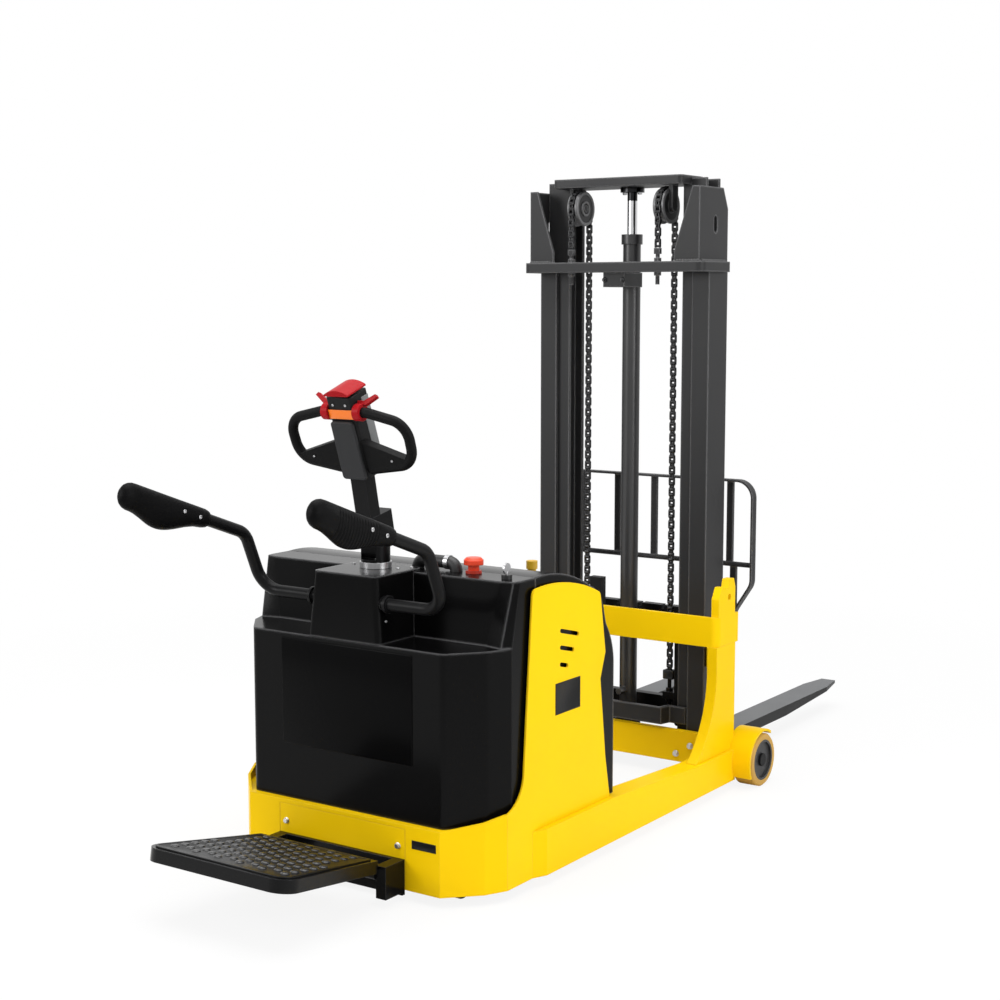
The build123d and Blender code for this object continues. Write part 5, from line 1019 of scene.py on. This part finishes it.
# %% Lathe
def turned(name, rings, sides, place, direction, material, body):
    """A closed turned piece from a profile of radius and height pairs that ends where it began."""
    bpy.ops.object.select_all(action="DESELECT")
    bpy.ops.mesh.primitive_circle_add(vertices=sides, radius=rings[0][0], fill_type="NOTHING")
    bpy.ops.object.mode_set(mode="EDIT")
    bpy.ops.mesh.select_mode(type="EDGE")
    bpy.ops.mesh.select_all(action="SELECT")
    bpy.ops.transform.translate(value=(0, 0, rings[0][1]))
    for (last_radius, last_high), (radius, high) in zip(rings, rings[1:] + rings[:1]):
        bpy.ops.mesh.extrude_region_move(TRANSFORM_OT_translate={"value": (0, 0, high - last_high)})
        spread = radius / last_radius
        bpy.ops.transform.resize(value=(spread, spread, 1), center_override=(0, 0, high))
    close_up()
    bpy.ops.object.mode_set(mode="OBJECT")
    bpy.ops.object.shade_smooth_by_angle(angle=math.radians(35))
    piece = bpy.context.object
    piece.location = place
    piece.rotation_euler = facing(direction)
    return keep(name, material, body)


# %% Pulley faces and conduit band
pulley_half, pulley_sides, band_sides, band_place = 0.018, 48, 32, (0.178, -0.862, 0.904)
pulley_face = [(0.015, 0.0), (0.015, 0.003), (bore_edge, 0.003), (0.0195, 0.0055), (0.0255, 0.0055),
               (groove_inner, 0.0015), (groove_outer, 0.0015), (0.049, 0.0045), (0.057, 0.0045), (0.0585, 0.003),
               (0.0585, 0.0)]
conduit_band = [(0.0178, -0.007), (0.0205, -0.007), (0.0205, 0.007), (0.0178, 0.007)]
for side, sign in both_sides:
    inner_face = sign * (chain_x - pulley_half)
    turned(f"pulley_face_{side}", pulley_face, pulley_sides, (inner_face, pulley.y, pulley.z), (-sign, 0, 0),
           pulley_steel, "chain_pulleys")
turned("conduit_band", conduit_band, band_sides, band_place, (1, 0, 0), bright_steel, "chassis")
print("turned pieces", len(pulley_face), "and", len(conduit_band), "rings")

# %% [markdown]
# The horn plates are welded to the head bar. A weld bead is a row of small overlapping ripples, so it is turned
# like a rod whose radius swells and shrinks, and laid half sunk in the corner that it fills.

# %% Weld beads
ripple_step, ripple_radius, bead_tip, bead_sides = 0.011, 0.0078, 0.0005, 10
valley_share, valley_at, crest_at = 0.72, 0.1, 0.55
horn_high, horn_inset, horn_foot, horn_rear = 0.247, 0.02, 0.095, 0.335
bead_start, bead_short = 0.012, 0.02
head_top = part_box("outer_head")[1]
bead_z, horn_face = head_top[2] - horn_high, head_top[0] - horn_inset


def bead_rings(length):
    """The profile of a bead: a narrow ring and a wide one for each ripple."""
    count = int(length / ripple_step)
    rings = [(bead_tip, 0.0)]
    for ripple in range(count):
        rings.append((valley_share * ripple_radius, (ripple + valley_at) * ripple_step))
        rings.append((ripple_radius, (ripple + crest_at) * ripple_step))
    return rings + [(bead_tip, count * ripple_step)]


rear_bead, outer_bead = bead_rings(horn_foot), bead_rings(head_top[1] - horn_rear - bead_short)
for side, sign in both_sides:
    turned(f"horn_weld_{side}_rear", rear_bead, bead_sides, (sign * horn_face, horn_rear, bead_z), (-sign, 0, 0),
           weld_steel, "chassis")
    turned(f"horn_weld_{side}_outer", outer_bead, bead_sides, (sign * horn_face, horn_rear + bead_start, bead_z),
           (0, 1, 0), weld_steel, "chassis")
print("weld beads", len(rear_bead), "and", len(outer_bead), "rings")

# %% [markdown]
# A U-bolt ties the lift cylinder to its saddle under the head bar. Its round rod is one small circle: extruded
# for the first leg, spun half a turn round the cylinder, and extruded again for the second leg.

# %% U-bolt
bolt_reach, bolt_high, bolt_radius, bolt_tail, bolt_sides, bend_steps = 0.0355, 1.713, 0.004, 0.012, 12, 16
leg = rod_y - rear_y + bolt_tail
bpy.ops.object.select_all(action="DESELECT")
bpy.ops.mesh.primitive_circle_add(
    vertices=bolt_sides,
    radius=bolt_radius,
    fill_type="NGON",
    rotation=(math.pi / 2, 0, 0),
    location=(bolt_reach, rear_y - bolt_tail, bolt_high),
)
settle()
bpy.ops.object.mode_set(mode="EDIT")
bpy.ops.mesh.select_all(action="SELECT")
bpy.ops.mesh.extrude_region_move(TRANSFORM_OT_translate={"value": (0, leg, 0)})
bpy.ops.mesh.spin(steps=bend_steps, angle=math.pi, center=(0, rod_y, bolt_high), axis=up)
bpy.ops.mesh.extrude_region_move(TRANSFORM_OT_translate={"value": (0, -leg, 0)})
close_up()
bpy.ops.object.mode_set(mode="OBJECT")
bpy.ops.object.shade_smooth_by_angle(angle=math.radians(50))
u_bolt = keep("cylinder_u_bolt", chain_steel, "chassis")
for side, sign in both_sides:
    place = (sign * bolt_reach, rear_y, bolt_high)
    copy_of(hex_bolt, f"u_bolt_nut_{side}", place, rear, "chassis", small_bolt, chain_steel)
print("U-bolt", [round(v, 3) for v in u_bolt.dimensions])

# %% [markdown]
# ## The tiller head
# The head leans further back than the tiller arm. A reflector strip crosses its back above the cover, two
# screws sit over the strip, and pale inserts close the sides. All of these are thin slabs set in the head's
# own tilted frame, so each is cut from a cube and rounded.

# %% Head frame
head_lean, head_foot, head_foot_y, head_foot_z = math.radians(20), 0.228, -1.0157, 1.1615
head_turn = (head_lean, 0, 0)
head_rear_face = (0, -math.cos(head_lean), -math.sin(head_lean))


def head_point(x, forward, along):
    """A point given in the head's own frame: across it, forward of its middle, and along it."""
    y = head_foot_y + forward * math.cos(head_lean) - (along - head_foot) * math.sin(head_lean)
    z = head_foot_z + forward * math.sin(head_lean) + (along - head_foot) * math.cos(head_lean)
    return Vector((x, y, z))


def slab(name, place, size, turn, rounding, material, body):
    """A thin slab with rounded edges."""
    cube(place, size, turn)
    round_edges(rounding, 3, 30)
    return keep(name, material, body)


print("head foot", tuple(round(v, 3) for v in head_point(0, 0, head_foot)))

# %% Trim on the head
strip_at, strip_size, strip_round = (0, -0.0368, 0.4215), (0.0855, 0.003, 0.027), 0.001
insert_at, insert_size, insert_round = (0.0443, 0.0245, 0.375), (0.0022, 0.031, 0.16), 0.0009
head_screws = (("head_screw", (0.022, -0.0358, 0.449), 0.6), ("wing_screw", (0.139, -0.0348, 0.288), 0.55))
slab("reflector_strip", head_point(*strip_at), strip_size, head_turn, strip_round, orange_strip, "tiller")
for side, sign in both_sides:
    slab(f"head_insert_{side}", head_point(sign * insert_at[0], *insert_at[1:]), insert_size, head_turn,
         insert_round, pale_plastic, "tiller")
    for name, (x, forward, along), size in head_screws:
        place = head_point(sign * x, forward, along)
        copy_of(socket_screw, f"{name}_{side}", place, head_rear_face, "tiller", size)
print("head trimmed with", 2 * len(head_screws), "screws")

# %% [markdown]
# ## Blank plates and the hood's raised panel
# Two small dark plates sit on the side and on the skirt, and a shallow raised panel covers most of the hood's
# back. A plate is a thin cube with one face inset for the rim and pushed in. The panel only needs its edges
# rounded, so it is a slab like those on the head.

# %% Plates
plate_proud, label_thick, plate_dish, plate_round = 0.0002, 0.0016, 0.0004, 0.00015


def blank_plate(name, place, size, face, rim):
    """A dark plate on the chassis, with a raised rim round the face that shows."""
    cube(place, size)
    settle()
    bpy.ops.object.mode_set(mode="EDIT")
    step_face(face, rim, -plate_dish)
    bpy.ops.object.mode_set(mode="OBJECT")
    round_edges(plate_round, 1)
    return keep(name, black_plastic, "chassis")


plate_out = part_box("side_plate_right")[1][0]
blank_plate("data_plate", (plate_out + plate_proud, -0.6785, 0.5195), size=(label_thick, 0.133, 0.091),
            face=(1, 0, 0), rim=0.003)
blank_plate("skirt_plate", (0.292, skirt_y - plate_proud, 0.164), size=(0.082, label_thick, 0.024), face=rear,
            rim=0.002)
hood_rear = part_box("rear_hood")[0][1]
slab("hood_panel", (0.004, hood_rear - plate_proud, 0.53), size=(0.47, 0.005, 0.31), turn=(0, 0, 0),
     rounding=0.0024, material=panel_cover, body="chassis")
print("plates set on", round(plate_out, 3), round(skirt_y, 3), round(hood_rear, 3))

# %% [markdown]
# ## Clearing away the masters
# Dressing must not change the truck's size. The masters of the fasteners are taken away.

for master in (hex_bolt, socket_screw):
    bpy.data.objects.remove(master)
